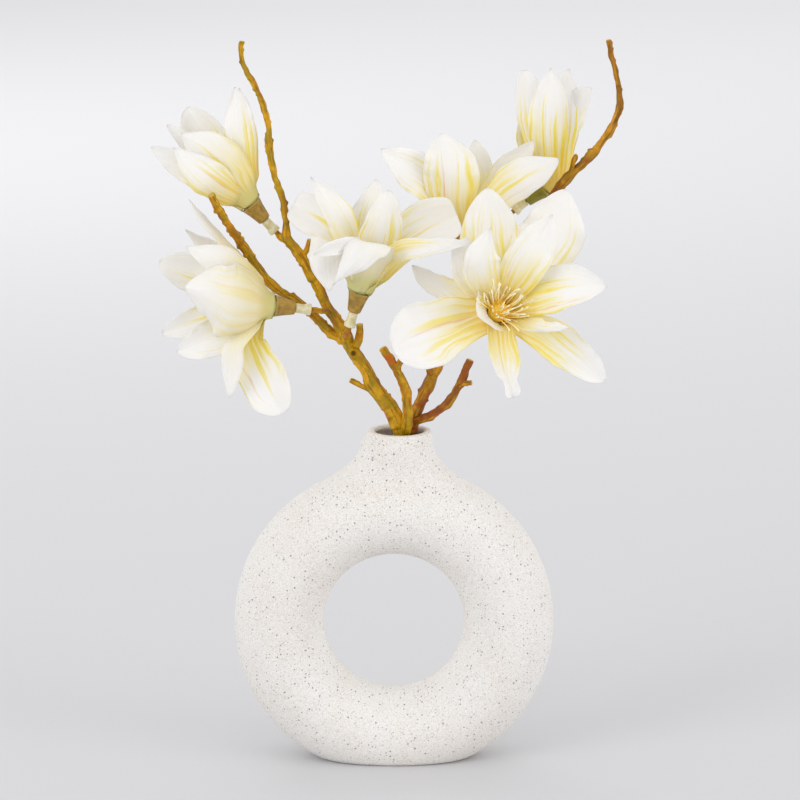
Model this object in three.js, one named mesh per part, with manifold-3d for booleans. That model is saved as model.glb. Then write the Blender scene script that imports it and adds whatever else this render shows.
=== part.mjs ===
// An artificial magnolia arrangement: two moulded branches with three cloth blooms each, standing in a
// ceramic ring vase. Millimetres, +Z up. The origin is the middle of the vase's flat base, +X is to the
// right as the ring is seen from the front, and +Y points away from the front.
import * as THREE from "three";
import { mergeVertices } from "three/addons/utils/BufferGeometryUtils.js";
import Module from "manifold-3d";

const wasm = await Module();
wasm.setup();

// ---- Vase: a ring of oval section that stands upright, cut flat below, with a neck on top
const RING_RADIUS = 68.5; // from the ring's centre to the middle of its body
const RING_THICK = 26.6; // half the body's thickness, measured along the radius
const RING_DEEP = 30; // half the body's depth, front to back
const RING_HIGH = 83.5; // the ring's centre above the base
const WALL = 5;
const FLOOR = 6;
const MOUTH_HIGH = 200;
const MOUTH_SHIFT = 3.3; // the mouth leans this far to the right
const MOUTH_BORE = 14.2;
const RIM_RADIUS = 19.2;
const SHOULDER_HIGH = 193; // where the neck starts to spread into the ring
const SHOULDER_SHIFT = 1.7;
const SHOULDER_RADIUS = 21.4;
const FOOT_WIDE = 46; // where the neck's spread meets the ring: half its width and half its depth
const FOOT_DEEP = 24.5;
const SUNK_HIGH = 150; // the neck's solid goes on down into the ring's body to here
const LIP = 2; // the mouth's edge is rounded over this much
const RING_STEPS = 36;
const SECTION_STEPS = 12;
const HOLLOW_STEPS = 10; // the hollow inside the ring is stepped more coarsely
const HOLLOW_RING_STEPS = 30;
const NECK_STEPS = 18;

const THICK_TWIG = 2.4; // a twig that starts thicker than this has more sides

// ---- Bloom hardware, along each bloom's stalk from the sleeve's open end to the petals' root
const PEG = 1.5; // radius of the branch's peg, which runs through the sleeve into the cone
const CLEAR = 0.35;
const STALK_BORE = PEG + 0.3; // the hole along the sleeve and the cone
const PIECE_GAP = 0.3; // between the sleeve and the cone
const SLEEVE_LONG = 9.2;
const SLEEVE_RADIUS = 2.8;
const COLLAR_RADIUS = 3.5;
const COLLAR_LONG = 2.6;
const CONE_LONG = 12.4;
const CONE_FOOT = 3.3; // the cone's radius at its narrow end, at its belly and at its rim
const CONE_BELLY = 5;
const CONE_RIM = 6.8;
const CONE_BELLY_AT = 7.5;
const CONE_WALL = 0.8;
const CONE_DISH = 3;
const STALK_SIDES = 9;
const SEAT_RADIUS = 6; // the petals' root, a rounded seat in the cone's dish
const ROOT_LIFT = 2.5;
const ROOT_RADIUS = 4.4; // the petals start on this circle round the stalk
const PETAL_THICK = 0.9;
const STEPS_PER_SPAN = 2; // along the petal, between two of its points, with one step more for the tip
const PETAL_CROSS_STEPS = 3;
const TIP_HALF_WIDTH = 0.8;
const CENTRE_LIFT = 8.5;
const CENTRE_RADIUS = 3;
const STAMEN = 0.6;
const STAMEN_SPREAD = 0.62; // radians from the middle of the tuft to its outermost stamen
const STAMEN_TURN = 2.4; // radians round the tuft from one stamen to the next
const STAMEN_STEP = 0.12; // stamens come in three lengths, each shorter by this share

// ---- Outlines a petal can have. widest: where along the petal it is widest. root: its width where it
// starts, as a share of the widest. tip: below 1 rounds the tip, 1 leaves it pointed.
const OUTLINES = {
  spoon: { widest: 0.62, root: 0.24, tip: 0.75 },
  pointed: { widest: 0.56, root: 0.28, tip: 0.9 },
  rounded: { widest: 0.58, root: 0.27, tip: 0.68 },
  blunt: { widest: 0.7, root: 0.27, tip: 0.4 },
  full: { widest: 0.5, root: 0.34, tip: 0.62 },
  slim: { widest: 0.5, root: 0.3, tip: 1 },
};

// ---- Blooms. root: where the petals stand in the cone. heel: where the sleeve meets the branch. Each
// petal has points along its middle after its root, measured from the bloom's root, then the vector
// across it from edge to edge at its widest, the angle in degrees by which its edges curl up, and its
// outline. centre: how far and which way the stamens reach.
const BLOOMS = [
  {
    name: "upper_left", root: [-84, 12, 333], heel: [-69, 12, 316], centre: [-18, 0, 20], stamens: 7,
    petals: [
      [[[-2, -6, 26], [-5, -8, 48], [-6, -6, 70]], [18, 4, -1], -38, "spoon"],
      [[[-6, 8, 31], [-10, 8, 68]], [14, -8, -1], 32, "rounded"],
      [[[-15, -14, 26], [-40, -10, 44]], [19, 0, 18], -35, "pointed"],
      [[[-23, -25, 20], [-44, -21, 37]], [14, 6, 15], -40, "pointed"],
      [[[-27, 8, 25], [-50, 8, 47]], [7, 10, 6], 25, "pointed"],
      [[[-22, 20, 29], [-41, 18, 55]], [18, 0, 12], 35, "pointed"],
      [[[-30, -2, 18], [-60, -2, 35]], [5, 16, 6], -20, "slim"],
      [[[-14, 26, 27], [-28, 28, 47]], [16, -6, 9], 35, "rounded"],
    ],
  },
  {
    name: "lower_left", root: [-70, -12, 277], heel: [-49, -8, 274], centre: [-26, 0, 4], stamens: 7,
    petals: [
      [[[-25, -28, 8], [-50, -22, 16]], [4, 0, 45], -58, "full"],
      [[[-27, 8, 35], [-50, 10, 61]], [6, 16, 1], -20, "slim"],
      [[[-30, 18, 26], [-53, 18, 41]], [7, 18, 7], -30, "pointed"],
      [[[-29, -10, 28], [-51, -6, 36]], [9, 6, 16], -35, "pointed"],
      [[[-38, 28, 12], [-68, 24, 21]], [8, 0, 24], 30, "blunt"],
      [[[-37, 16, -11], [-67, 16, -20]], [-6, 2, 19], 30, "rounded"],
      [[[-30, -4, -16], [-57, -4, -27]], [-10, 4, 19], 35, "rounded"],
      [[[-22, -15, -19], [-25, -16, -35], [-26, -14, -51]], [-12, 4, -1], -25, "full"],
      [[[-15, -1, -19], [-7, -6, -41], [5, -10, -62]], [-26, 4, -12], 25, "blunt"],
    ],
  },
  {
    name: "middle", root: [-20, -15, 286], heel: [-26, -14, 265], centre: [6, -6, 24], stamens: 7,
    petals: [
      [[[-15, 7, 34], [-41, 15, 48]], [9, 6, 27], 28, "blunt"],
      [[[-10, 3, 38], [-28, 5, 67]], [15, 6, 7], 35, "pointed"],
      [[[4, 15, 37], [10, 19, 63]], [20, 0, -4], 35, "rounded"],
      [[[14, -1, 36], [17, 1, 59]], [22, 6, -2], -35, "full"],
      [[[31, 11, 33], [58, 13, 44]], [-5, 6, 25], -25, "blunt"],
      [[[19, -15, 24], [42, -31, 32], [67, -38, 36]], [1, 10, 11], -15, "slim"],
      [[[6, -18, 21], [2, -29, 33], [-6, -39, 26], [-14, -39, 10]], [23, 6, -9], -16, "full"],
      [[[-11, -13, 22], [-19, -21, 30], [-20, -27, 23], [-19, -25, 5]], [13, 14, -5], -16, "full"],
      [[[-2, 27, 23], [-6, 35, 43]], [16, 0, 2], 30, "rounded"],
    ],
  },
  {
    name: "rear", root: [39, 25, 313], heel: [40, 22, 292], centre: [0, 0, 26], stamens: 7,
    petals: [
      [[[-18, -8, 32], [-46, -17, 53]], [14, 6, 20], 30, "rounded"],
      [[[-6, -19, 38], [-11, -17, 63]], [34, 0, -2], -40, "rounded"],
      [[[11, 11, 30], [9, 11, 54]], [20, 0, -2], 30, "rounded"],
      [[[24, 3, 33], [43, -5, 56]], [11, 6, -15], 30, "rounded"],
      [[[28, -19, 33], [58, -23, 48]], [-9, 10, 20], 35, "rounded"],
      [[[-2, 19, 27], [-8, 23, 47]], [20, 0, 2], 30, "rounded"],
    ],
  },
  {
    name: "upper_right", root: [88, 42, 338], heel: [71, 40, 324], centre: [12, 0, 26], stamens: 7,
    petals: [
      [[[-7, -11, 37], [-11, -12, 72]], [14, -8, 1], -40, "blunt"],
      [[[3, -20, 39], [4, -19, 74]], [24, 0, -1], -40, "full"],
      [[[11, -8, 37], [14, -6, 72]], [18, 6, -4], -40, "full"],
      [[[16, 0, 33], [27, -1, 61]], [12, 20, -8], -40, "full"],
      [[[-5, 14, 30], [-3, 14, 61]], [22, 4, -1], 40, "full"],
      [[[12, 18, 29], [17, 18, 55]], [20, -4, -2], 40, "full"],
    ],
  },
  {
    name: "front_right", root: [59, -38, 278], heel: [55, -18, 271], centre: [19, -17, 16], stamens: 14,
    petals: [
      [[[-32, -14, -7], [-61, -20, -17]], [15, -8, -34], -18, "blunt"],
      [[[4, -12, -22], [10, -14, -47]], [16, 6, 0], -40, "full"],
      [[[35, -8, -14], [63, -12, -38]], [13, -6, 21], -22, "rounded"],
      [[[36, -14, 18], [64, -12, 18]], [2, 6, 27], -25, "pointed"],
      [[[24, -24, -5], [42, -30, -3]], [2, 14, 4], -45, "pointed"],
      [[[18, -16, 36], [32, -12, 60]], [22, 0, -10], 25, "pointed"],
      [[[30, 14, 41], [41, 20, 70]], [33, 0, -15], 26, "rounded"],
      [[[-3, 9, 44], [-5, 13, 71]], [34, 0, 0], 35, "rounded"],
      [[[-6, -24, 35], [-3, -22, 54]], [15, 8, 0], -30, "pointed"],
      [[[-17, -6, 27], [-18, -2, 45]], [16, 6, 6], -30, "rounded"],
      [[[-7, -20, 5], [-11, -22, 16]], [7, 6, -7], -30, "full"],
      [[[-30, 22, 13], [-49, 30, 22]], [-5, 8, -16], -18, "slim"],
    ],
  },
];

// ---- Branches. Every twig is a list of points with the twig's radius there: x, y, z, radius. The
// thicker spots are the nodes where leaves once sat. The last points of a peg run inside its bloom.
const LEFT_TWIGS = {
  trunk: [
    [4, -4, 134, 4], [4, -4, 177, 4], [4, -4, 198, 4.1], [2, -4, 206, 4.6], [-2, -3, 214, 4.6],
    [-8, -2, 221, 4.3], [-13, 0, 228, 4.4], [-16, 1, 235, 3.8], [-22, 2, 244, 4.1], [-26, 3, 250, 3.8],
    [-29, 3, 257, 4.1], [-34, 3, 266, 3.2], [-39, 3, 273, 3], [-44, 3, 284, 2.9], [-49, 3, 293, 2.9],
    [-54, 3, 303, 3.2], [-60, 3, 311, 3], [-63, 3, 316, 2.6], [-63, 3, 323, 2.1], [-65, 4, 337, 2],
    [-70, 5, 352, 1.8], [-73, 5, 370, 2.2], [-73, 6, 380, 1.5], [-76, 6, 392, 2], [-79, 6, 400, 1.5],
    [-82, 7, 406, 1.9], [-87, 7, 415, 1.5], [-89, 8, 424, 1.4], [-88, 8, 430, 1.5],
  ],
  knobbly: [
    [-29, 4, 253, 2.9], [-38, 6, 258, 2.8], [-48, 8, 268, 2.5], [-58, 9, 276, 2.8], [-63, 9, 279, 2.4],
    [-72, 7, 286, 2.8], [-80, 8, 296, 2.4], [-88, 4, 309, 2.8], [-96, -5, 323, 2.2],
    [-102, -13, 335, 2.5], [-106, -19, 344, 1.9],
  ],
  peg_upper_left: [
    [-59, 3, 309, 2.4], [-62, 6, 312, 2.4], [-66, 10, 313.5, 2.1], [-69, 12, 316, PEG], [-77.5, 12, 325.6, PEG],
  ],
  peg_lower_left: [
    [-38, 2, 271, 1.8], [-43, -6, 273, 1.6], [-49, -8, 274, PEG], [-61.5, -10.4, 275.8, PEG],
  ],
  peg_middle: [
    [-28, 2, 256, 2.7], [-27.6, -9, 260, 2.1], [-26.3, -13.9, 264, PEG], [-22.3, -14.6, 278, PEG],
  ],
  stump_middle: [[-22, 0, 250, 2.4], [-20, 0, 258, 2.2], [-20, -1, 264, 2]],
  side_low: [[-11, 0, 222, 2], [-16, 0, 225, 1.6], [-20, 0, 227, 1.5], [-26, 0, 230, 1.4]],
  stub_high: [[-54, 3, 303, 1.9], [-51, 2, 308, 1.7], [-49, 1, 314, 1.7]],
  nub_high: [[-42, 3, 279, 1.7], [-44, 2, 286, 1.7], [-44.5, 2, 291, 1.5]],
  stub_front: [
    [6, -5, 198, 3], [8, -9, 207, 3.2], [8, -11, 217, 2.7], [7, -12, 227, 3], [3, -12, 236, 2.5],
    [-2, -12, 245, 2.6], [-7, -12, 252, 2.4],
  ],
  stub_front_side: [[2, -12, 238, 2.1], [3, -13, 242, 1.8], [5, -13, 246, 1.8]],
};
const RIGHT_TWIGS = {
  trunk: [
    [10, 4, 134, 3.7], [10, 4, 175, 3.7], [10, 4, 196, 3.8], [12, 4, 207, 3.8], [17, 4, 219, 3.5],
    [20, 4.5, 225, 3.8], [24, 5, 234, 3.3], [30, 6, 245, 3.4], [40, 8, 259, 3.1], [48, 10, 270, 3.2],
    [55, 12, 281, 2.8], [70, 18, 302, 2.7], [85, 21, 323, 2.7], [96, 19, 340, 2.6], [102, 17, 348, 3],
    [107, 16, 353, 2.3], [116, 15, 362, 2.8], [122, 14, 370, 2], [127, 14, 377, 2.6], [130, 14, 384, 1.8],
    [132, 14, 390, 2.4], [132, 14, 397, 1.8], [130, 14, 409, 1.5], [127, 14, 420, 1.5], [125, 14, 430, 1.5],
  ],
  nub_low: [[23, 4, 230, 2], [21, 3, 235, 1.8], [20, 3, 239, 1.6]],
  stub: [
    [11, 2, 203, 2.4], [15, 0, 206, 2.4], [21, -1, 208.5, 2.7], [26, -2, 212, 2.2], [32, -3, 217, 2.8],
    [37, -3, 225, 2.3], [40, -3, 230, 2.7], [42, -3, 236, 2.4], [45, -3, 243, 2.3],
  ],
  stub_side: [[37, -3, 227, 1.9], [41, -4, 229, 1.7], [46, -5, 229.5, 1.6]],
  peg_front_right: [
    [42, 9, 262, 2.4], [49, -3, 264, 2], [53.4, -12, 268.4, PEG], [55, -18, 271, PEG], [57.4, -30, 275.2, PEG],
  ],
  peg_rear: [[47, 10, 269, 2.1], [41, 18, 281, 1.8], [40, 22, 292, PEG], [39.4, 23.8, 305, PEG]],
  peg_upper_right: [
    [64, 16, 294, 2.2], [61, 26, 306, 1.9], [64, 36, 317, 1.7], [71, 40, 324, PEG], [81.4, 41.2, 332.6, PEG],
  ],
  bud: [[103, 17, 349, 1.5], [104.5, 14, 355, 1.3], [106, 12, 360, 1.5], [106.5, 11.5, 363, 0.7]],
};

const CERAMIC = new THREE.MeshStandardMaterial({ color: 0xebe6dd, roughness: 0.85, metalness: 0 });
const GOLDEN_BARK = new THREE.MeshStandardMaterial({ color: 0x9a7420, roughness: 0.55, metalness: 0 });
const RED_BARK = new THREE.MeshStandardMaterial({ color: 0x8f5a2c, roughness: 0.55, metalness: 0 });
const PETAL_CLOTH = new THREE.MeshStandardMaterial({ color: 0xfaf6ea, roughness: 0.8, metalness: 0 });
const CONE_PLASTIC = new THREE.MeshStandardMaterial({ color: 0x9c7e3e, roughness: 0.6, metalness: 0 });
const SLEEVE_PLASTIC = new THREE.MeshStandardMaterial({ color: 0xdcd9ae, roughness: 0.45, metalness: 0 });
const CENTRE_PLASTIC = new THREE.MeshStandardMaterial({ color: 0xf3e3a0, roughness: 0.6, metalness: 0 });

const vector = (p) => new THREE.Vector3(p[0], p[1], p[2]);

// A closed geometry as a solid that can be cut and joined.
function solid(geometry) {
  const bare = geometry.clone();
  bare.deleteAttribute("normal");
  bare.deleteAttribute("uv");
  const merged = mergeVertices(bare, 1e-4);
  return new wasm.Manifold(
    new wasm.Mesh({
      numProp: 3,
      vertProperties: new Float32Array(merged.attributes.position.array),
      triVerts: new Uint32Array(merged.index.array),
    })
  );
}

function geometryOf(body) {
  const mesh = body.getMesh();
  const geometry = new THREE.BufferGeometry();
  geometry.setAttribute("position", new THREE.BufferAttribute(mesh.vertProperties, 3));
  geometry.setIndex(new THREE.BufferAttribute(mesh.triVerts, 1));
  geometry.computeVertexNormals();
  return geometry;
}

const joined = (bodies) => bodies.reduce((all, body) => all.add(body));

// A cut can leave a loose scrap, which is dropped.
function largest(body) {
  return body.decompose().reduce((best, piece) => (piece.volume() > best.volume() ? piece : best));
}

// A closed skin over a row of rings, each with the same number of points, with a flat fan on each end.
function skin(rings) {
  const count = rings[0].length;
  const points = rings.flat();
  const faces = [];
  for (let r = 0; r + 1 < rings.length; r++) {
    for (let k = 0; k < count; k++) {
      const a = r * count + k;
      const b = r * count + ((k + 1) % count);
      faces.push(a, b, b + count, a, b + count, a + count);
    }
  }
  const middle = (ring) => ring.reduce((sum, p) => sum.add(p), new THREE.Vector3()).divideScalar(count);
  const first = points.push(middle(rings[0])) - 1;
  const last = points.push(middle(rings[rings.length - 1])) - 1;
  const end = (rings.length - 1) * count;
  for (let k = 0; k < count; k++) {
    const next = (k + 1) % count;
    faces.push(first, next, k);
    faces.push(last, end + k, end + next);
  }
  const geometry = new THREE.BufferGeometry().setFromPoints(points);
  geometry.setIndex(faces);
  return geometry;
}

const circle = (x, radius, z) =>
  Array.from({ length: NECK_STEPS }, (_, k) => {
    const turn = (2 * Math.PI * k) / NECK_STEPS;
    return new THREE.Vector3(x + radius * Math.cos(turn), radius * Math.sin(turn), z);
  });

// ---- Vase
const ringBody = (thick, deep, sectionSteps, ringSteps) =>
  new THREE.TorusGeometry(RING_RADIUS, thick, sectionSteps, ringSteps)
    .scale(1, 1, deep / thick)
    .rotateX(Math.PI / 2)
    .translate(0, 0, RING_HIGH);

// The height of the ring's upper surface over a point of the ground plan.
function ringTop(x, y) {
  const reach = RING_RADIUS + RING_THICK * Math.sqrt(Math.max(0, 1 - (y / RING_DEEP) ** 2));
  return RING_HIGH + Math.sqrt(reach ** 2 - x ** 2);
}

// One ring of the neck's spread: s = 0 at the shoulder, s = 1 at the foot, where the skin runs into the
// ring's surface along its slope.
function neckSpread(s) {
  return Array.from({ length: NECK_STEPS }, (_, k) => {
    const turn = (2 * Math.PI * k) / NECK_STEPS;
    const out = new THREE.Vector2(Math.cos(turn), Math.sin(turn));
    const start = new THREE.Vector3(
      SHOULDER_SHIFT + SHOULDER_RADIUS * out.x, SHOULDER_RADIUS * out.y, SHOULDER_HIGH
    );
    const foot = (share) => {
      const x = FOOT_WIDE * share * out.x;
      const y = FOOT_DEEP * share * out.y;
      return new THREE.Vector3(x, y, ringTop(x, y) - 0.2);
    };
    const end = foot(1);
    const pull = start.distanceTo(end);
    const down = new THREE.Vector3(0, 0, -pull);
    const along = end.clone().sub(foot(0.98)).setLength(pull);
    const s2 = s * s;
    const s3 = s2 * s;
    return start.multiplyScalar(2 * s3 - 3 * s2 + 1)
      .addScaledVector(down, s3 - 2 * s2 + s)
      .addScaledVector(end, 3 * s2 - 2 * s3)
      .addScaledVector(along, s3 - s2);
  });
}

function vase() {
  const sunk = neckSpread(1).map((p) => new THREE.Vector3(p.x * 0.7, p.y * 0.7, SUNK_HIGH));
  const neck = skin([
    sunk,
    neckSpread(1), neckSpread(0.8), neckSpread(0.6), neckSpread(0.4), neckSpread(0.2), neckSpread(0),
    circle(MOUTH_SHIFT, RIM_RADIUS, MOUTH_HIGH - LIP),
    circle(MOUTH_SHIFT, RIM_RADIUS - 0.3 * LIP, MOUTH_HIGH - 0.3 * LIP),
    circle(MOUTH_SHIFT, RIM_RADIUS - LIP, MOUTH_HIGH),
  ]);
  const bore = skin([
    circle(0, MOUTH_BORE, SUNK_HIGH),
    circle(SHOULDER_SHIFT, MOUTH_BORE, SHOULDER_HIGH),
    circle(MOUTH_SHIFT, MOUTH_BORE, MOUTH_HIGH - LIP / 2),
    circle(MOUTH_SHIFT, MOUTH_BORE + LIP / 2, MOUTH_HIGH),
    circle(MOUTH_SHIFT, MOUTH_BORE + LIP / 2, MOUTH_HIGH + LIP),
  ]);
  const wide = 3 * RING_RADIUS;
  const below = (top) => solid(new THREE.BoxGeometry(wide, wide, wide).translate(0, 0, top - wide / 2));
  const outside = solid(ringBody(RING_THICK, RING_DEEP, SECTION_STEPS, RING_STEPS)).add(solid(neck));
  const inside = solid(ringBody(RING_THICK - WALL, RING_DEEP - WALL, HOLLOW_STEPS, HOLLOW_RING_STEPS))
    .subtract(below(FLOOR))
    .add(solid(bore));
  return outside.subtract(below(0)).subtract(inside);
}

// ---- Branches
// A round twig through the given points, with the radius given at each.
function twig(points, sides) {
  const path = new THREE.CatmullRomCurve3(points.map(vector), false, "catmullrom", 0.5);
  const spans = points.length - 1;
  const rings = [];
  const side = new THREE.Vector3(0, 1, 0);
  for (let i = 0; i <= spans; i++) {
    const t = i / spans;
    const here = path.getPoint(t);
    const forward = path.getTangent(t);
    side.addScaledVector(forward, -side.dot(forward)).normalize();
    const up = new THREE.Vector3().crossVectors(forward, side);
    const radius = points[i][3];
    rings.push(Array.from({ length: sides }, (_, k) => {
      const turn = (2 * Math.PI * k) / sides;
      return here.clone()
        .addScaledVector(side, radius * Math.cos(turn))
        .addScaledVector(up, radius * Math.sin(turn));
    }));
  }
  return solid(skin(rings));
}

const branch = (twigs) =>
  joined(Object.values(twigs).map((points) => twig(points, points[0][3] > THICK_TWIG ? 8 : 5)));

// ---- Blooms
// Half the petal's width at u along it, as a share of the widest.
function petalWidth(u, outline) {
  const { widest, root, tip } = outline;
  if (u < widest) return root + (1 - root) * Math.sin((Math.PI / 2) * (u / widest)) ** 1.4;
  return Math.cos((Math.PI / 2) * ((u - widest) / (1 - widest))) ** tip;
}

// A petal: a sheet that follows its middle line, curled across by the given angle, given a thickness
// along its own normal and split into triangles alike on both faces.
function petal(root, points, across, curl, outline) {
  const path = new THREE.CatmullRomCurve3([root, ...points.map(vector)], false, "catmullrom", 0.5);
  const wide = vector(across);
  const bend = THREE.MathUtils.degToRad(curl);
  const sheet = [];
  const steps = STEPS_PER_SPAN * points.length + 1;
  for (let i = 0; i <= steps; i++) {
    const u = i / steps;
    const forward = path.getTangent(u);
    const side = wide.clone().addScaledVector(forward, -wide.dot(forward)).normalize();
    const face = new THREE.Vector3().crossVectors(side, forward);
    const half = Math.max(TIP_HALF_WIDTH, (wide.length() / 2) * petalWidth(u, OUTLINES[outline]));
    const row = [];
    for (let j = 0; j <= PETAL_CROSS_STEPS; j++) {
      const angle = bend * ((2 * j) / PETAL_CROSS_STEPS - 1);
      row.push(path.getPoint(u)
        .addScaledVector(side, (half * Math.sin(angle)) / Math.sin(bend))
        .addScaledVector(face, (half * (1 - Math.cos(angle))) / Math.sin(bend)));
    }
    sheet.push(row);
  }
  return solid(thickened(sheet, PETAL_THICK));
}

// A sheet of points with its two faces set apart along its normals and its edges closed.
function thickened(sheet, thick) {
  const rows = sheet.length;
  const columns = sheet[0].length;
  const clampRow = (i) => Math.min(rows - 1, Math.max(0, i));
  const clampColumn = (j) => Math.min(columns - 1, Math.max(0, j));
  const points = [];
  for (const way of [1, -1]) {
    for (let i = 0; i < rows; i++) {
      for (let j = 0; j < columns; j++) {
        const along = sheet[clampRow(i + 1)][j].clone().sub(sheet[clampRow(i - 1)][j]);
        const over = sheet[i][clampColumn(j + 1)].clone().sub(sheet[i][clampColumn(j - 1)]);
        const normal = over.cross(along).normalize();
        points.push(sheet[i][j].clone().addScaledVector(normal, (way * thick) / 2));
      }
    }
  }
  const back = rows * columns;
  const faces = [];
  for (let i = 0; i + 1 < rows; i++) {
    for (let j = 0; j + 1 < columns; j++) {
      const a = i * columns + j;
      const b = a + 1;
      const c = a + columns;
      const d = c + 1;
      faces.push(a, b, d, a, d, c);
      faces.push(back + a, back + d, back + b, back + a, back + c, back + d);
    }
  }
  const rim = [];
  for (let j = 0; j < columns; j++) rim.push(j);
  for (let i = 1; i < rows; i++) rim.push(i * columns + columns - 1);
  for (let j = columns - 2; j >= 0; j--) rim.push((rows - 1) * columns + j);
  for (let i = rows - 2; i > 0; i--) rim.push(i * columns);
  rim.forEach((a, k) => {
    const b = rim[(k + 1) % rim.length];
    faces.push(b, a, back + a, b, back + a, back + b);
  });
  const geometry = new THREE.BufferGeometry().setFromPoints(points);
  geometry.setIndex(faces);
  return geometry;
}

const lathe = (profile) =>
  new THREE.LatheGeometry(profile.map(([radius, high]) => new THREE.Vector2(radius, high)), STALK_SIDES);

// The moulded cone: its narrow end at 0, its dished rim at CONE_LONG. grow widens it for a clearance.
const coneShape = (grow) => {
  const dish = CONE_LONG - CONE_DISH + grow;
  return lathe([
    [STALK_BORE, 0], [CONE_FOOT + grow, 0], [CONE_BELLY + grow, CONE_BELLY_AT],
    [CONE_RIM + grow, CONE_LONG], [CONE_RIM - CONE_WALL - grow, CONE_LONG],
    [CONE_RIM - 2 * CONE_WALL - grow, dish], [STALK_BORE, dish], [STALK_BORE, 0],
  ]);
};

// The pale sleeve, with a wider collar at its open end.
const sleeveShape = () =>
  lathe([
    [STALK_BORE, 0], [COLLAR_RADIUS, COLLAR_LONG / 4], [COLLAR_RADIUS, COLLAR_LONG],
    [SLEEVE_RADIUS, 1.5 * COLLAR_LONG], [SLEEVE_RADIUS, SLEEVE_LONG], [STALK_BORE, SLEEVE_LONG],
    [STALK_BORE, 0],
  ]);

// The bloom's centre: a small dome with stamens fanned round the way it faces, on a sunflower spiral.
function centre(stalk, reach, count, grow) {
  const foot = stalk.clone().multiplyScalar(CENTRE_LIFT);
  const parts = [solid(new THREE.SphereGeometry(CENTRE_RADIUS + grow, 7, 4).translate(foot.x, foot.y, foot.z))];
  const long = reach.length();
  const facing = reach.clone().normalize();
  const spin = new THREE.Quaternion().setFromUnitVectors(new THREE.Vector3(0, 0, 1), facing);
  for (let n = 0; n < count; n++) {
    const spread = STAMEN_SPREAD * Math.sqrt((n + 0.5) / count);
    const turn = n * STAMEN_TURN;
    const way = new THREE.Vector3(Math.sin(spread) * Math.cos(turn), Math.sin(spread) * Math.sin(turn),
      Math.cos(spread)).applyQuaternion(spin);
    const end = foot.clone().addScaledVector(way, (long - CENTRE_LIFT) * (1 - STAMEN_STEP * (n % 3)));
    const side = new THREE.Vector3().crossVectors(way, stalk).normalize();
    if (side.lengthSq() < 0.5) side.set(1, 0, 0);
    const up = new THREE.Vector3().crossVectors(way, side);
    const square = (middle, radius) => [0, 1, 2, 3].map((k) => {
      const corner = (Math.PI / 2) * k;
      return middle.clone()
        .addScaledVector(side, radius * Math.cos(corner))
        .addScaledVector(up, radius * Math.sin(corner));
    });
    parts.push(solid(skin([square(foot, STAMEN + grow), square(end, STAMEN + grow + 0.1)])));
  }
  return joined(parts);
}

function named(name, geometry, material) {
  const mesh = new THREE.Mesh(geometry, material);
  mesh.name = name;
  return mesh;
}

function bloom(spec) {
  const group = new THREE.Group();
  group.position.copy(vector(spec.root));
  const stalk = vector(spec.root).sub(vector(spec.heel)).normalize();
  const turn = new THREE.Quaternion().setFromUnitVectors(new THREE.Vector3(0, 1, 0), stalk);

  const onStalk = (name, geometry, material, from) => {
    const mesh = named(name, geometry, material);
    mesh.quaternion.copy(turn);
    mesh.position.copy(stalk).multiplyScalar(from);
    mesh.updateMatrix();
    group.add(mesh);
    return mesh;
  };
  const cone = onStalk("cone_" + spec.name, coneShape(0), CONE_PLASTIC, -CONE_LONG);
  onStalk("sleeve_" + spec.name, sleeveShape(), SLEEVE_PLASTIC, -CONE_LONG - PIECE_GAP - SLEEVE_LONG);

  const seat = [
    new THREE.SphereGeometry(SEAT_RADIUS, STALK_SIDES, 5).applyQuaternion(turn)
      .translate(...stalk.clone().multiplyScalar(ROOT_LIFT + 0.5)),
    new THREE.CylinderGeometry(SEAT_RADIUS - 1, 4.6, CONE_DISH + 1, STALK_SIDES).applyQuaternion(turn)
      .translate(...stalk.clone().multiplyScalar(-CONE_DISH / 2 + 0.8)),
  ];
  const sheets = spec.petals.map(([points, across, curl, outline]) => {
    const toward = vector(points[0]);
    toward.addScaledVector(stalk, -toward.dot(stalk)).setLength(ROOT_RADIUS);
    const root = toward.addScaledVector(stalk, ROOT_LIFT);
    return petal(root, points, across, curl, outline);
  });
  const roomForCone = solid(coneShape(CLEAR).applyMatrix4(cone.matrix));
  const reach = vector(spec.centre);
  const petals = joined([...seat.map(solid), ...sheets])
    .subtract(roomForCone)
    .subtract(centre(stalk, reach, spec.stamens, CLEAR));
  group.add(named("petals_" + spec.name, geometryOf(largest(petals)), PETAL_CLOTH));
  group.add(named("centre_" + spec.name, geometryOf(centre(stalk, reach, spec.stamens, 0)), CENTRE_PLASTIC));
  return group;
}

const group = new THREE.Group();
group.add(named("vase", geometryOf(vase()), CERAMIC));
group.add(named("branch_left", geometryOf(branch(LEFT_TWIGS)), GOLDEN_BARK));
group.add(named("branch_right", geometryOf(branch(RIGHT_TWIGS)), RED_BARK));
for (const spec of BLOOMS) group.add(bloom(spec));

export default group;
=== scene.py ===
import math

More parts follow.
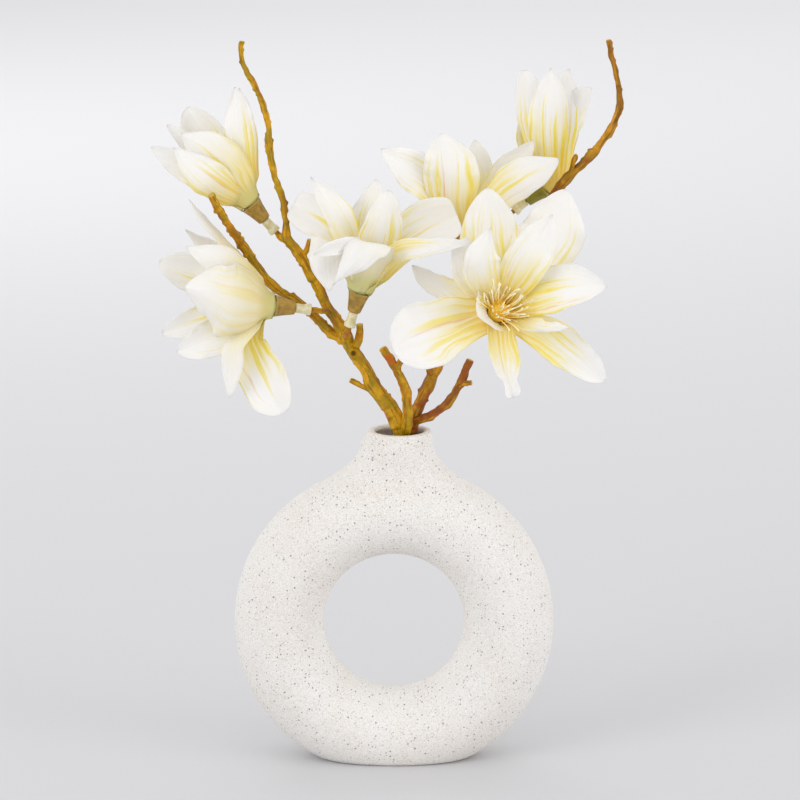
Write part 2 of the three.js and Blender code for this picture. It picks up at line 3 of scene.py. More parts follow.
import bpy
import numpy as np
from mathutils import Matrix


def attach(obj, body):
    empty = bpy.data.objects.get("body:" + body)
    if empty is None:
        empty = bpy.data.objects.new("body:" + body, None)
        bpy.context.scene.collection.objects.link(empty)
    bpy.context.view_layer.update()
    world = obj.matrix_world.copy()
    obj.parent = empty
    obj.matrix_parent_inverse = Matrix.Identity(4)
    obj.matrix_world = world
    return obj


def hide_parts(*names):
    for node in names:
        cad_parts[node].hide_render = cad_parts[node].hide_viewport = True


# The looks of an artificial magnolia arrangement: two moulded branches with six cloth blooms, standing
# in a speckled stoneware ring vase. The driving sizes are in millimetres and are turned into metres
# where a mesh is made. Every new piece is a surface worked out on a grid.
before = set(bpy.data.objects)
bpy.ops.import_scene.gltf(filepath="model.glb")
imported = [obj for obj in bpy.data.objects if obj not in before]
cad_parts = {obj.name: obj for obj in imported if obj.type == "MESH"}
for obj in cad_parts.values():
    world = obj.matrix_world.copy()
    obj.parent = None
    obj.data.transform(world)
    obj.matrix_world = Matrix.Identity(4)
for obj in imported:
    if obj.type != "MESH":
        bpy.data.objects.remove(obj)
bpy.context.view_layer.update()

MM = 0.001

# ---- Ring vase
RING_RADIUS = 68.5  # from the ring's centre to the middle of its body
RING_THICK = 26.6  # half the body's thickness, along the radius
RING_DEEP = 30.0  # half the body's depth, front to back
RING_HIGH = 83.5  # the ring's centre above the table
WALL = 5.0
FLOOR_THICK = 6.0
FOOT_ROUNDING = 2.6
HOLLOW_ROUNDING = 1.0
MOUTH_HIGH = 200.0
MOUTH_SHIFT = 3.3
MOUTH_BORE = 14.2
RIM_RADIUS = 19.2
SHOULDER_HIGH = 193.0
SHOULDER_SHIFT = 1.7
SHOULDER_RADIUS = 21.4
FOOT_WIDE = 46.0  # the ellipse on which the neck runs into the ring
FOOT_DEEP = 24.5
FOOT_SUNK = 0.2  # how far that foot stands below the ring's surface
SUNK_HIGH = 150.0  # the neck and its bore run on down to here, inside the ring
SUNK_SHARE = 0.7  # the neck's breadth down there, of its foot's
LIP = 2.0
BODY_STEPS = (240, 120)  # points round the ring, and round its section
HOLLOW_STEPS = (120, 60)
NECK_SIDES = 96
NECK_STEPS = 30
LIP_STEPS = 7

# ---- Bloom hardware, along the stalk
PEG = 1.5
STALK_BORE = PEG + 0.3
PIECE_GAP = 0.3
SLEEVE_LONG = 9.2
SLEEVE_RADIUS = 2.8
COLLAR_RADIUS = 3.5
COLLAR_LONG = 2.6
CONE_LONG = 12.4
CONE_FOOT = 3.9
CONE_BELLY = 5.3
CONE_RIM = 6.6
CONE_BELLY_AT = 7.5
CONE_WALL = 0.8
CONE_DISH = 3.0
SEAT_START = -2.4  # from the cone's rim down into its dish
SEAT_RADIUS = 4.3
SEAT_FLARE = 0.17
SEAT_HIGH = 8.4
CLOTH_THICK = 0.4
CENTRE_LIFT = 6.2  # the dome's middle above the root
CENTRE_RADIUS = 6.8  # of the dome, where the stamens fan out by 1 radian
STAMEN_FOOT = 4.8  # how far out on the dome a stamen stands that leans by 1 radian
STAMEN_TURN = 2.4  # radians from one stamen to the next, the turn of a sunflower's spiral
STAMEN_RADIUS = 0.46
STAMEN_SIDES = 8
STAMEN_ROWS = 14

# Outlines of a petal. widest: where along it. waist, base: its width just above its root and at it, as
# shares of the widest. tip: below 1 rounds the tip, 1 leaves it pointed. neck: how far it narrows before
# a tip that flares again.
OUTLINES = {
    "spoon": (0.62, 0.38, 0.62, 0.75, 0),
    "pointed": (0.56, 0.47, 0.52, 0.82, 0),
    "rounded": (0.58, 0.45, 0.5, 0.62, 0),
    "blunt": (0.7, 0.44, 0.5, 0.4, 0),
    "square": (0.84, 0.34, 0.5, 0.18, 0),
    "full": (0.5, 0.57, 0.6, 0.6, 0),
    "slim": (0.5, 0.5, 0.6, 0.95, 0),
    "kite": (0.5, 0.5, 0.5, 1.2, 0),
    "tailed": (0.42, 0.6, 0.6, 0.3, 0.5),
}

# Blooms. root: where the petals stand in the cone. heel: where the sleeve meets the branch. centre: how
# far and which way the stamens reach. fan: how widely they spread, in radians. outside: how strong the
# print is on the petals' outer side, of its strength on the inner one. green: how green the petals'
# roots are. olive: the same of the cone. facing: the way the bloom opens. whorls: which ring of the cup
# each petal stands in, 0 outermost. Each petal has points along its middle, measured from the root, the
# vector across it at its widest, the curl of its edges in degrees, its outline, and some have traits of
# their own, which petal_skin tells of.
BLOOMS = {
    "upper_left": dict(
        root=(-84, 12, 333), heel=(-69, 12, 316), centre=(-14, 0, 16),
        stamens=12, fan=0.4, outside=0.9, green=0.8,
        facing=(-18, 0, 20), whorls=(1, 0, 0, 2, 0, 2, 1, 1),
        petals=[
            ([(-2, -6, 26), (-5, -8, 48), (-6, -6, 70)], (18, 4, -1), -38, "spoon"),
            ([(-6, 8, 31), (-10, 8, 68)], (14, -8, -1), 32, "rounded"),
            ([(-15, -14, 26), (-40, -10, 44)], (19, 0, 18), -35, "pointed"),
            ([(-23, -25, 20), (-44, -21, 37)], (14, 6, 15), -40, "pointed"),
            ([(-27, 8, 25), (-49, 8, 46)], (9, 6, 10), 25, "rounded"),
            ([(-20, 18, 29), (-38, 16, 54)], (20, 0, 12), 35, "blunt", dict(nib=0)),
            ([(-30, -2, 18), (-58, -2, 34)], (8, 8, 14), -20, "rounded"),
            ([(-14, 26, 27), (-28, 28, 47)], (16, -6, 9), 35, "rounded"),
        ],
    ),
    "lower_left": dict(
        root=(-70, -12, 277), heel=(-49, -8, 274), centre=(-20, 0, 3),
        stamens=12, fan=0.4, outside=0.5, green=0.75,
        facing=(-26, 0, 4), whorls=(0, 0, 1, 2, 2, 1, 2, 1, 0),
        petals=[
            ([(-25, -28, 8), (-50, -22, 16)], (4, 0, 45), -58, "full", dict(ink=0.7)),
            ([(-27, 8, 35), (-50, 10, 61)], (6, 16, 1), -20, "slim"),
            ([(-30, 18, 26), (-53, 18, 41)], (7, 18, 7), -30, "pointed"),
            ([(-29, -10, 28), (-51, -6, 36)], (9, 6, 16), -35, "pointed"),
            ([(-38, 28, 12), (-68, 24, 21)], (8, 0, 24), 30, "blunt"),
            ([(-37, 16, -11), (-67, 16, -20)], (-6, 2, 19), 30, "rounded"),
            ([(-30, -4, -16), (-57, -4, -27)], (-10, 4, 19), 35, "rounded"),
            ([(-22, -15, -19), (-25, -16, -35), (-26, -14, -52)], (-12.5, 4, -1), -25, "spoon",
             dict(ink=0.3, nib=0)),
            ([(-15, -1, -19), (-7, -6, -41), (5, -10, -62)], (-26, 4, -12), 25, "blunt",
             dict(ink=1.1, seed=21.7)),
        ],
    ),
    "middle": dict(
        root=(-20, -15, 286), heel=(-26, -14, 265), centre=(5, -4, 20),
        stamens=12, fan=0.4, outside=0.95, green=0.9,
        facing=(6, -6, 24), whorls=(1, 2, 2, 2, 1, 0, 1, 0, 0, 1),
        petals=[
            ([(-14, 7, 35), (-39, 15, 49)], (3, 6, 22), 28, "square", dict(nib=0, back=0.1)),
            ([(-10, 3, 38), (-28, 5, 67)], (15, 6, 7), 35, "pointed"),
            ([(4, 15, 37), (10, 19, 63)], (20, 0, -4), 35, "rounded"),
            ([(14, -1, 36), (17, 1, 60)], (25, 6, -2), -30, "rounded", dict(fold=0, nib=0)),
            ([(31, 11, 33), (57, 13, 43)], (-5, 6, 26), -25, "square", dict(nib=0, back=0)),
            ([(19, -15, 24), (42, -31, 32), (67, -38, 36)], (1, 10, 11), -15, "slim"),
            ([(7, -18, 25), (6, -27, 34), (4, -35, 35), (-2, -41, 26), (-15, -42, 12)], (26, 5, -5), 18,
             "kite", dict(back=0, fold=0.55, low=0.3, high=0.25, nib=0, ink=0.1)),
            ([(-8, -14, 23), (-15, -22, 33), (-18, -28, 24), (-17, -28, 6)], (23, 8, -4), 20, "full",
             dict(back=0, fold=0, low=0.25, high=0, ink=0.2)),
            ([(-2, 27, 23), (-6, 35, 43)], (16, 0, 2), 30, "rounded"),
            ([(-3, -22, 27), (-5, -31, 33), (-13, -38, 34), (-26, -42, 30)], (3, -4, 12), 25, "rounded",
             dict(back=0, fold=0.2, nib=0, ink=0.1)),
        ],
    ),
    "rear": dict(
        root=(39, 25, 313), heel=(40, 22, 292), centre=(0, 0, 20),
        stamens=12, fan=0.4, outside=1, green=0.3,
        facing=(0, 0, 26), whorls=(2, 0, 0, 2, 1, 1),
        petals=[
            ([(-18, -8, 32), (-46, -17, 53)], (14, 6, 20), 30, "rounded"),
            ([(-6, -19, 38), (-11, -17, 63)], (34, 0, -2), -40, "rounded"),
            ([(11, 11, 30), (9, 11, 54)], (20, 0, -2), 30, "rounded"),
            ([(24, 3, 33), (43, -5, 56)], (11, 6, -15), 30, "rounded"),
            ([(28, -19, 33), (58, -23, 48)], (-9, 10, 20), 35, "rounded"),
            ([(-2, 19, 27), (-8, 23, 47)], (20, 0, 2), 30, "rounded"),
        ],
    ),
    "upper_right": dict(
        root=(88, 42, 338), heel=(71, 40, 324), centre=(10, 0, 17),
        stamens=12, fan=0.4, outside=1.5, green=0.35, olive=1,
        facing=(3, -2, 30), whorls=(1, 0, 2, 1, 0, 2),
        petals=[
            ([(-7, -11, 37), (-11, -12, 72)], (18, -9, 2), -40, "blunt", dict(nib=0)),
            ([(3, -20, 39), (4, -19, 74)], (25, 0, -1), -40, "spoon"),
            ([(11, -8, 37), (14, -6, 72)], (22, 7, -4), -40, "spoon"),
            ([(15, 0, 33), (26, -1, 61)], (19, 13, -5), -35, "blunt", dict(nib=0)),
            ([(-5, 14, 30), (-3, 14, 61)], (22, 4, -1), 40, "full"),
            ([(12, 18, 29), (17, 18, 55)], (20, -4, -2), 40, "full"),
        ],
    ),
    "front_right": dict(
        root=(59, -38, 278), heel=(55, -18, 271), centre=(13, -18, 19),
        stamens=70, fan=0.9, outside=0.6, green=0.1,
        facing=(4, -20, 7), whorls=(0, 0, 0, 1, 2, 2, 1, 1, 3, 2, 3, 0),
        petals=[
            ([(-31, -14, -6), (-59, -20, -18)], (15, -8, -35), -18, "blunt",
             dict(nib=0, back=0.1, fold=0, ink=0.8)),
            ([(4, -12, -22), (10, -14, -47)], (17, 6, 3), -40, "tailed", dict(nib=0, low=-0.2, high=0.1)),
            ([(35, -8, -14), (63, -12, -38)], (13, -6, 21), -22, "rounded", dict(ink=0.85)),
            ([(36, -14, 18), (64, -12, 18)], (2, 6, 27), -25, "pointed"),
            ([(24, -24, -5), (42, -30, -3)], (2, 14, 4), -45, "pointed"),
            ([(18, -16, 36), (32, -12, 60)], (24, 0, -11), 25, "pointed", dict(fold=0.6, back=0)),
            ([(30, 14, 40), (41, 20, 69)], (36, 0, -16), 26, "rounded"),
            ([(-3, 9, 44), (-5, 13, 71)], (34, 0, 0), 35, "rounded"),
            ([(-8, -23, 33), (-4, -22, 54)], (21, 9, 1), -30, "pointed"),
            ([(-17, -6, 27), (-18, -2, 45)], (16, 6, 6), -30, "rounded"),
            ([(-7, -14, 3), (-9.5, -24, 4)], (15, 2, -25), -40, "full", dict(fold=0, wavy=0.05)),
            ([(-28, 22, 10), (-49, 30, 22)], (-4, 8, -15), -18, "spoon"),
        ],
    ),
}

# Branches. Each twig is a list of points with its radius there: x, y, z, radius.
LEFT_TWIGS = {
    "trunk": [
        (4, -4, 134, 4), (4, -4, 177, 4), (4, -4, 198, 4.1), (2, -4, 206, 4.6), (-2, -3, 214, 4.6),
        (-8, -2, 221, 4.3), (-13, 0, 228, 4.4), (-16, 1, 235, 3.8), (-22, 2, 244, 4.1), (-26, 3, 250, 3.8),
        (-29, 3, 257, 4.1), (-34, 3, 266, 3.2), (-39, 3, 273, 3), (-44, 3, 284, 2.9), (-49, 3, 293, 2.9),
        (-54, 3, 303, 3.2), (-60, 3, 311, 3), (-63, 3, 316, 2.6), (-63, 3, 323, 2.1), (-65, 4, 337, 2),
        (-70, 5, 352, 1.8), (-73, 5, 370, 2.2), (-73, 6, 380, 1.5), (-76, 6, 392, 2), (-79, 6, 400, 1.5),
        (-82, 7, 406, 1.9), (-87, 7, 415, 1.5), (-89, 8, 424, 1.4), (-88, 8, 430, 1.5),
    ],
    "knobbly": [
        (-29, 4, 253, 2.9), (-38, 6, 258, 2.8), (-48, 8, 268, 2.5), (-58, 9, 276, 2.8), (-63, 9, 279, 2.4),
        (-72, 7, 286, 2.8), (-80, 8, 296, 2.4), (-88, 4, 309, 2.8), (-96, -5, 323, 2.2),
        (-102, -13, 335, 2.5), (-106, -19, 344, 1.9),
    ],
    "peg_upper_left": [
        (-59, 3, 309, 2.4), (-62, 6, 312, 2.4), (-66, 10, 313.5, 2.1), (-69, 12, 316, PEG),
        (-77.5, 12, 325.6, PEG),
    ],
    "peg_lower_left": [
        (-38, 2, 271, 1.8), (-43, -6, 273, 1.6), (-49, -8, 274, PEG), (-61.5, -10.4, 275.8, PEG),
    ],
    "peg_middle": [
        (-28, 2, 256, 2.7), (-27.6, -9, 260, 2.1), (-26.3, -13.9, 264, PEG), (-22.3, -14.6, 278, PEG),
    ],
    "stump_middle": [(-22, 0, 250, 2.4), (-20, 0, 258, 2.2), (-20, -1, 264, 2)],
    "side_low": [(-11, 0, 222, 2), (-16, 0, 225, 1.6), (-20, 0, 227, 1.5), (-26, 0, 230, 1.4)],
    "stub_high": [(-54, 3, 303, 1.9), (-51, 2, 308, 1.7), (-49, 1, 314, 1.7)],
    "nub_high": [(-42, 3, 279, 1.7), (-44, 2, 286, 1.7), (-44.5, 2, 291, 1.5)],
    "stub_front": [
        (6, -5, 198, 3), (8, -9, 207, 3.2), (8, -11, 217, 2.7), (7, -12, 227, 3), (3, -12, 236, 2.5),
        (-2, -12, 245, 2.6), (-7, -12, 252, 2.4),
    ],
    "stub_front_side": [(2, -12, 238, 2.1), (3, -13, 242, 1.8), (5, -13, 246, 1.8)],
}
RIGHT_TWIGS = {
    "trunk": [
        (10, 4, 134, 3.7), (10, 4, 175, 3.7), (10, 4, 196, 3.8), (12, 4, 207, 3.8), (17, 4, 219, 3.5),
        (20, 4.5, 225, 3.8), (24, 5, 234, 3.3), (30, 6, 245, 3.4), (40, 8, 259, 3.1), (48, 10, 270, 3.2),
        (55, 12, 281, 2.8), (70, 18, 302, 2.7), (85, 21, 323, 2.7), (96, 19, 340, 2.6), (102, 17, 348, 3),
        (107, 16, 353, 2.3), (116, 15, 362, 2.8), (122, 14, 370, 2), (127, 14, 377, 2.6),
        (130, 14, 384, 1.8), (132, 14, 390, 2.4), (132, 14, 397, 1.8), (130, 14, 409, 1.5),
        (127, 14, 420, 1.5), (125, 14, 430, 1.5),
    ],
    "nub_low": [(23, 4, 230, 2), (21, 3, 235, 1.8), (20, 3, 239, 1.6)],
    "stub": [
        (11, 2, 203, 2.4), (15, 0, 206, 2.4), (21, -1, 208.5, 2.7), (26, -2, 212, 2.2), (32, -3, 217, 2.8),
        (37, -3, 225, 2.3), (40, -3, 230, 2.7), (42, -3, 236, 2.4), (45, -3, 243, 2.3),
    ],
    "stub_side": [(37, -3, 227, 1.9), (41, -4, 229, 1.7), (46, -5, 229.5, 1.6)],
    "peg_front_right": [
        (42, 9, 262, 2.4), (49, -3, 264, 2), (53.4, -12, 268.4, PEG), (55, -18, 271, PEG),
        (57.4, -30, 275.2, PEG),
    ],
    "peg_rear": [(47, 10, 269, 2.1), (41, 18, 281, 1.8), (40, 22, 292, PEG), (39.4, 23.8, 305, PEG)],
    "peg_upper_right": [
        (64, 16, 294, 2.2), (61, 26, 306, 1.9), (64, 36, 317, 1.7), (71, 40, 324, PEG),
        (81.4, 41.2, 332.6, PEG),
    ],
    "bud": [(103, 17, 349, 1.5), (104.5, 14, 355, 1.3), (106, 12, 360, 1.5), (106.5, 11.5, 363, 0.7)],
}


# ---------------------------------------------------------------- surfaces
def unit(v):
    """v scaled to length 1 along its last axis. A v of no length stays at 0."""
    length = np.linalg.norm(v, axis=-1, keepdims=True)
    return v / np.where(length > 0, length, 1)


def through(points, u):
    """The smooth curve through the points at each u from 0 to 1: between two points it is the cubic that
    leaves each with half the step from the point before to the point after."""
    points = np.asarray(points, float)
    spans = len(points) - 1
    place = np.clip(np.asarray(u, float), 0, 1) * spans
    i = np.minimum(np.floor(place).astype(int), spans - 1)
    w = (place - i)[:, None]
    held = np.vstack([2 * points[0] - points[1], points, 2 * points[-1] - points[-2]])
    before, here, there, after = held[i], held[i + 1], held[i + 2], held[i + 3]
    leave, arrive = (there - before) / 2, (after - here) / 2
    return (
        here + leave * w + (3 * there - 3 * here - 2 * leave - arrive) * w**2
        + (2 * here - 2 * there + leave + arrive) * w**3
    )


def heading(points, u, step=0.004):
    """The direction of through(points) at each u."""
    return unit(through(points, np.asarray(u) + step) - through(points, np.asarray(u) - step))


def carried_sides(directions, first):
    """Two vectors square to each direction, carried from one to the next with no twist: each side is the
    one before it, less its part along the new direction."""
    side = np.asarray(first, float)
    sides = []
    for forward in directions:
        side = unit(side - forward * (side @ forward))
        sides.append(side)
    sides = np.array(sides)
    return sides, np.cross(directions, sides)


def round_grid(rows, columns, both=False):
    """Four-cornered faces over a grid of rows x columns points that closes on itself across, and along
    too if both is set."""
    r, k = np.meshgrid(np.arange(rows if both else rows - 1), np.arange(columns), indexing="ij")
    on, up = (k + 1) % columns, (r + 1) % rows
    corners = [r * columns + k, r * columns + on, up * columns + on, up * columns + k]
    return np.stack(corners, -1).reshape(-1, 4)


class Skins:
    """Closed skins gathered into one mesh, with a few marks carried by every point."""

    def __init__(self):
        self.points, self.faces, self.marks, self.count = [], [], {}, 0

    def add(self, points, faces, **marks):
        """Adds a skin. Its faces are turned over if the volume that they enclose comes out negative."""
        flat = points.reshape(-1, 3)
        volume = sum(
            np.einsum("ij,ij->", flat[f[:, 0]], np.cross(flat[f[:, k]], flat[f[:, k + 1]]))
            for f in faces for k in range(1, f.shape[1] - 1)
        )
        for f in faces:
            turned = f if volume > 0 else f[:, ::-1]
            self.faces.extend((turned + self.count).tolist())
        self.points.append(flat)
        for name, values in marks.items():
            values = np.broadcast_to(values, (*points.shape[:-1], 3))
            self.marks.setdefault(name, []).append(values.reshape(-1, 3))
        self.count += len(flat)

    def rings(self, points, **marks):
        """A skin over a row of rings, each closed by a fan of faces on its middle at both ends."""
        rows, columns = points.shape[:2]
        marks = {name: np.broadcast_to(m, (rows, columns, 3)) for name, m in marks.items()}
        capped = {}
        for name, grid in {"points": points, **marks}.items():
            ends = [grid[0].mean(0), grid[-1].mean(0)]
            capped[name] = np.vstack([grid.reshape(-1, 3), *[e[None] for e in ends]])
        k = np.arange(columns)
        on = (k + 1) % columns
        first, last, start = rows * columns, rows * columns + 1, (rows - 1) * columns
        fans = np.vstack([
            np.stack([np.full(columns, first), on, k], -1),
            np.stack([np.full(columns, last), start + k, start + on], -1),
        ])
        self.add(capped.pop("points"), [round_grid(rows, columns), fans], **capped)

    def loops(self, points, **marks):
        """A skin over a grid that closes on itself both ways, such as a lathe's closed profile."""
        self.add(points, [round_grid(*points.shape[:2], both=True)], **marks)

    def sheet(self, front, back, **marks):
        """A thin sheet between two grids of points, closed round its four edges. A mark is one grid for
        both of its sides or a pair of them."""
        rows, columns = front.shape[:2]
        rings = np.concatenate([front, back[:, ::-1]], 1)
        for name, mark in marks.items():
            here, there = mark if isinstance(mark, tuple) else (mark, mark)
            marks[name] = np.concatenate([here, there[:, ::-1]], 1)
        k = np.arange(columns - 1)
        across = 2 * columns - 1 - k
        start = (rows - 1) * 2 * columns
        ends = np.vstack([
            np.stack([k + 1, k, across, across - 1], -1),
            np.stack([k, k + 1, across - 1, across], -1) + start,
        ])
        self.add(rings, [round_grid(rows, 2 * columns), ends], **marks)

    def made(self, name, finish, node, slot, uv=None):
        """The mesh as a piece of the object: it stands for the CAD node, which it hides, and takes the
        finish. slot is not used.
        """
        mesh = bpy.data.meshes.new(name)
        mesh.from_pydata(np.vstack(self.points) * MM, [], self.faces)
        for mark, parts in self.marks.items():
            values = np.vstack(parts)
            if mark == uv:
                corners = np.zeros(len(mesh.loops), int)
                mesh.loops.foreach_get("vertex_index", corners)
                layer = mesh.uv_layers.new(name=mark)
                layer.data.foreach_set("uv", values[corners, :2].ravel())
            else:
                layer = mesh.attributes.new(mark, "FLOAT_VECTOR", "POINT")
                layer.data.foreach_set("vector", values.ravel())
        mesh.polygons.foreach_set("use_smooth", [True] * len(mesh.polygons))
        mesh.update()
        made = bpy.data.objects.new(name, mesh)
        bpy.context.scene.collection.objects.link(made)
        made.data.materials.append(finish)
        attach(made, "root")
        if node:
            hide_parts(node)
        return made


# ---------------------------------------------------------------- finishes
class Shade:
    """A socket of a finish. Arithmetic on it adds Math nodes."""

    def __init__(self, finish, socket):
        self.finish, self.socket = finish, socket

    def _math(self, operation, a, b):
        return self.finish.node("ShaderNodeMath", {"operation": operation}, {0: a, 1: b})

    def __add__(self, other):
        return self._math("ADD", self, other)

    def __radd__(self, other):
        return self._math("ADD", other, self)

    def __sub__(self, other):
        return self._math("SUBTRACT", self, other)

    def __rsub__(self, other):
        return self._math("SUBTRACT", other, self)

    def __mul__(self, other):
        return self._math("MULTIPLY", self, other)

    def __rmul__(self, other):
        return self._math("MULTIPLY", other, self)

    def __pow__(self, other):
        return self._math("POWER", self, other)


class Finish:
    """A material and the nodes that it is made of."""

    def __init__(self, name, **constants):
        self.material = bpy.data.materials.new(name)
        self.material.use_nodes = True
        self.tree = self.material.node_tree
        self.tree.nodes.clear()
        self.surface = self.tree.nodes.new("ShaderNodeBsdfPrincipled")
        self.output = self.tree.nodes.new("ShaderNodeOutputMaterial")
        self.tree.links.new(self.surface.outputs[0], self.output.inputs["Surface"])
        for socket, value in constants.items():
            self.surface.inputs[socket.replace("_", " ")].default_value = value

    def node(self, kind, settings=None, sockets=None, out=0):
        """Any node: its type, its settings, then the values or links of its sockets. Gives one output."""
        made = self.tree.nodes.new(kind)
        for setting, value in (settings or {}).items():
            setattr(made, setting, value)
        for socket, value in (sockets or {}).items():
            if isinstance(value, Shade):
                self.tree.links.new(value.socket, made.inputs[socket])
            else:
                made.inputs[socket].default_value = value
        return Shade(self, made.outputs[out])

    def set(self, socket, value):
        """Links what varies over the surface to one of the surface's sockets."""
        self.tree.links.new(value.socket, self.surface.inputs[socket])

    def place(self):
        return self.node("ShaderNodeTexCoord", out="Object")

    def mark(self, name, part=None):
        """A mark that the points carry, or one of its three parts."""
        vector = self.node("ShaderNodeAttribute", {"attribute_name": name}, out="Vector")
        return vector if part is None else self.node("ShaderNodeSeparateXYZ", None, {0: vector}, out=part)

    def along_across(self, name):
        """The two parts of the piece's own UV map: along the petal, and across it."""
        vector = self.node("ShaderNodeUVMap", {"uv_map": name})
        return [self.node("ShaderNodeSeparateXYZ", None, {0: vector}, out=k) for k in (0, 1)]

    def vector(self, x, y, z):
        return self.node("ShaderNodeCombineXYZ", None, {0: x, 1: y, 2: z})

    def noise(self, vector, scale, detail=2.0, roughness=0.5):
        return self.node(
            "ShaderNodeTexNoise", None,
            {"Vector": vector, "Scale": scale, "Detail": detail, "Roughness": roughness},
        )

    def step(self, value, start, end):
        """0 below start and 1 above end, smooth between them; falls instead where start is past end."""
        low, high, to_low, to_high = (start, end, 0.0, 1.0) if start < end else (end, start, 1.0, 0.0)
        return self.node(
            "ShaderNodeMapRange", {"interpolation_type": "SMOOTHSTEP"},
            {"Value": value, "From Min": low, "From Max": high, "To Min": to_low, "To Max": to_high},
        )

    def floor(self, value):
        return self.node("ShaderNodeMath", {"operation": "FLOOR"}, {0: value})

    def size_of(self, value):
        return self.node("ShaderNodeMath", {"operation": "ABSOLUTE"}, {0: value})

    def sine(self, value):
        return self.node("ShaderNodeMath", {"operation": "SINE"}, {0: value})

    def colour(self, mix, none, full):
        """The colour none where mix is 0 and full where it is 1."""
        none, full = (c if isinstance(c, Shade) else (*c, 1) for c in (none, full))
        return self.node("ShaderNodeMix", {"data_type": "RGBA"}, {0: mix, 6: none, 7: full}, out=2)

    def relief(self, height, depth):
        """Raises the surface by height x depth, with depth in metres."""
        self.set("Normal", self.node(
            "ShaderNodeBump", None, {"Strength": 1.0, "Distance": depth, "Height": height}, out="Normal",
        ))


def srgb(red, green, blue):
    """A colour, 0 to 255, as the shader's linear values."""
    return tuple(((c / 255 + 0.055) / 1.055) ** 2.4 if c > 10 else c / 3294 for c in (red, green, blue))


def speckled_stoneware():
    """Off-white matt stoneware: a sandy skin, faint beige clouds, and grey specks of two sizes. Below
    its rim the bore is painted dark: painted shade inside the mouth."""
    finish = Finish("speckled_stoneware", Roughness=0.82, Specular_IOR_Level=0.3)
    place = finish.place()
    clouds = finish.noise(place, 28, 3)
    sand, grit = finish.noise(place, 1500, 2, 0.7), finish.noise(place, 1050, 1, 0.6)
    body = finish.colour(finish.step(clouds, 0.35, 0.7), srgb(226, 223, 218), srgb(222, 214, 204))
    body = finish.colour(finish.step(sand, 0.3, 0.72), body, srgb(247, 245, 242))
    body = finish.colour(finish.step(grit, 0.55, 0.68) * 0.55, body, srgb(208, 203, 196))

    def specks(scale, share, widest):
        """Round specks: a share of the cells of a Voronoi pattern holds one, each of its own size."""
        cell = {"Vector": place, "Scale": scale}
        distance = finish.node("ShaderNodeTexVoronoi", None, cell, out="Distance")
        draw = finish.node("ShaderNodeSeparateColor", None, {
            0: finish.node("ShaderNodeTexVoronoi", None, cell, out="Color")})
        radius = finish.step(draw, 1 - share, 1.0) * widest
        return finish.step(radius - distance, 0.0, 0.05)

    fine = specks(760, 0.7, 0.3)
    coarse = specks(480, 0.66, 0.27)
    body = finish.colour(fine * 0.64, body, srgb(156, 152, 148))
    body = finish.colour(coarse * 0.74, body, srgb(104, 102, 104))
    x, y, z = (finish.node("ShaderNodeSeparateXYZ", None, {0: place}, out=k) for k in range(3))
    off = ((x - MOUTH_SHIFT * MM) ** 2.0 + y * y) ** 0.5
    bore, rim, foot = MOUTH_BORE * MM, MOUTH_HIGH * MM, SUNK_HIGH * MM
    # Painted shade: the bore is darkened from just below its rim down to where the neck meets the ring.
    bore_shade = finish.step(off, bore + 0.001, bore) * finish.step(z, rim - 0.0008, rim - 0.004)
    bore_shade = bore_shade * finish.step(z, foot, foot + 0.005)
    body = finish.colour(bore_shade * 0.75, body, srgb(92, 86, 80))
    finish.set("Base Color", body)
    finish.relief(sand - coarse * 0.6, 0.00025)
    return finish.material


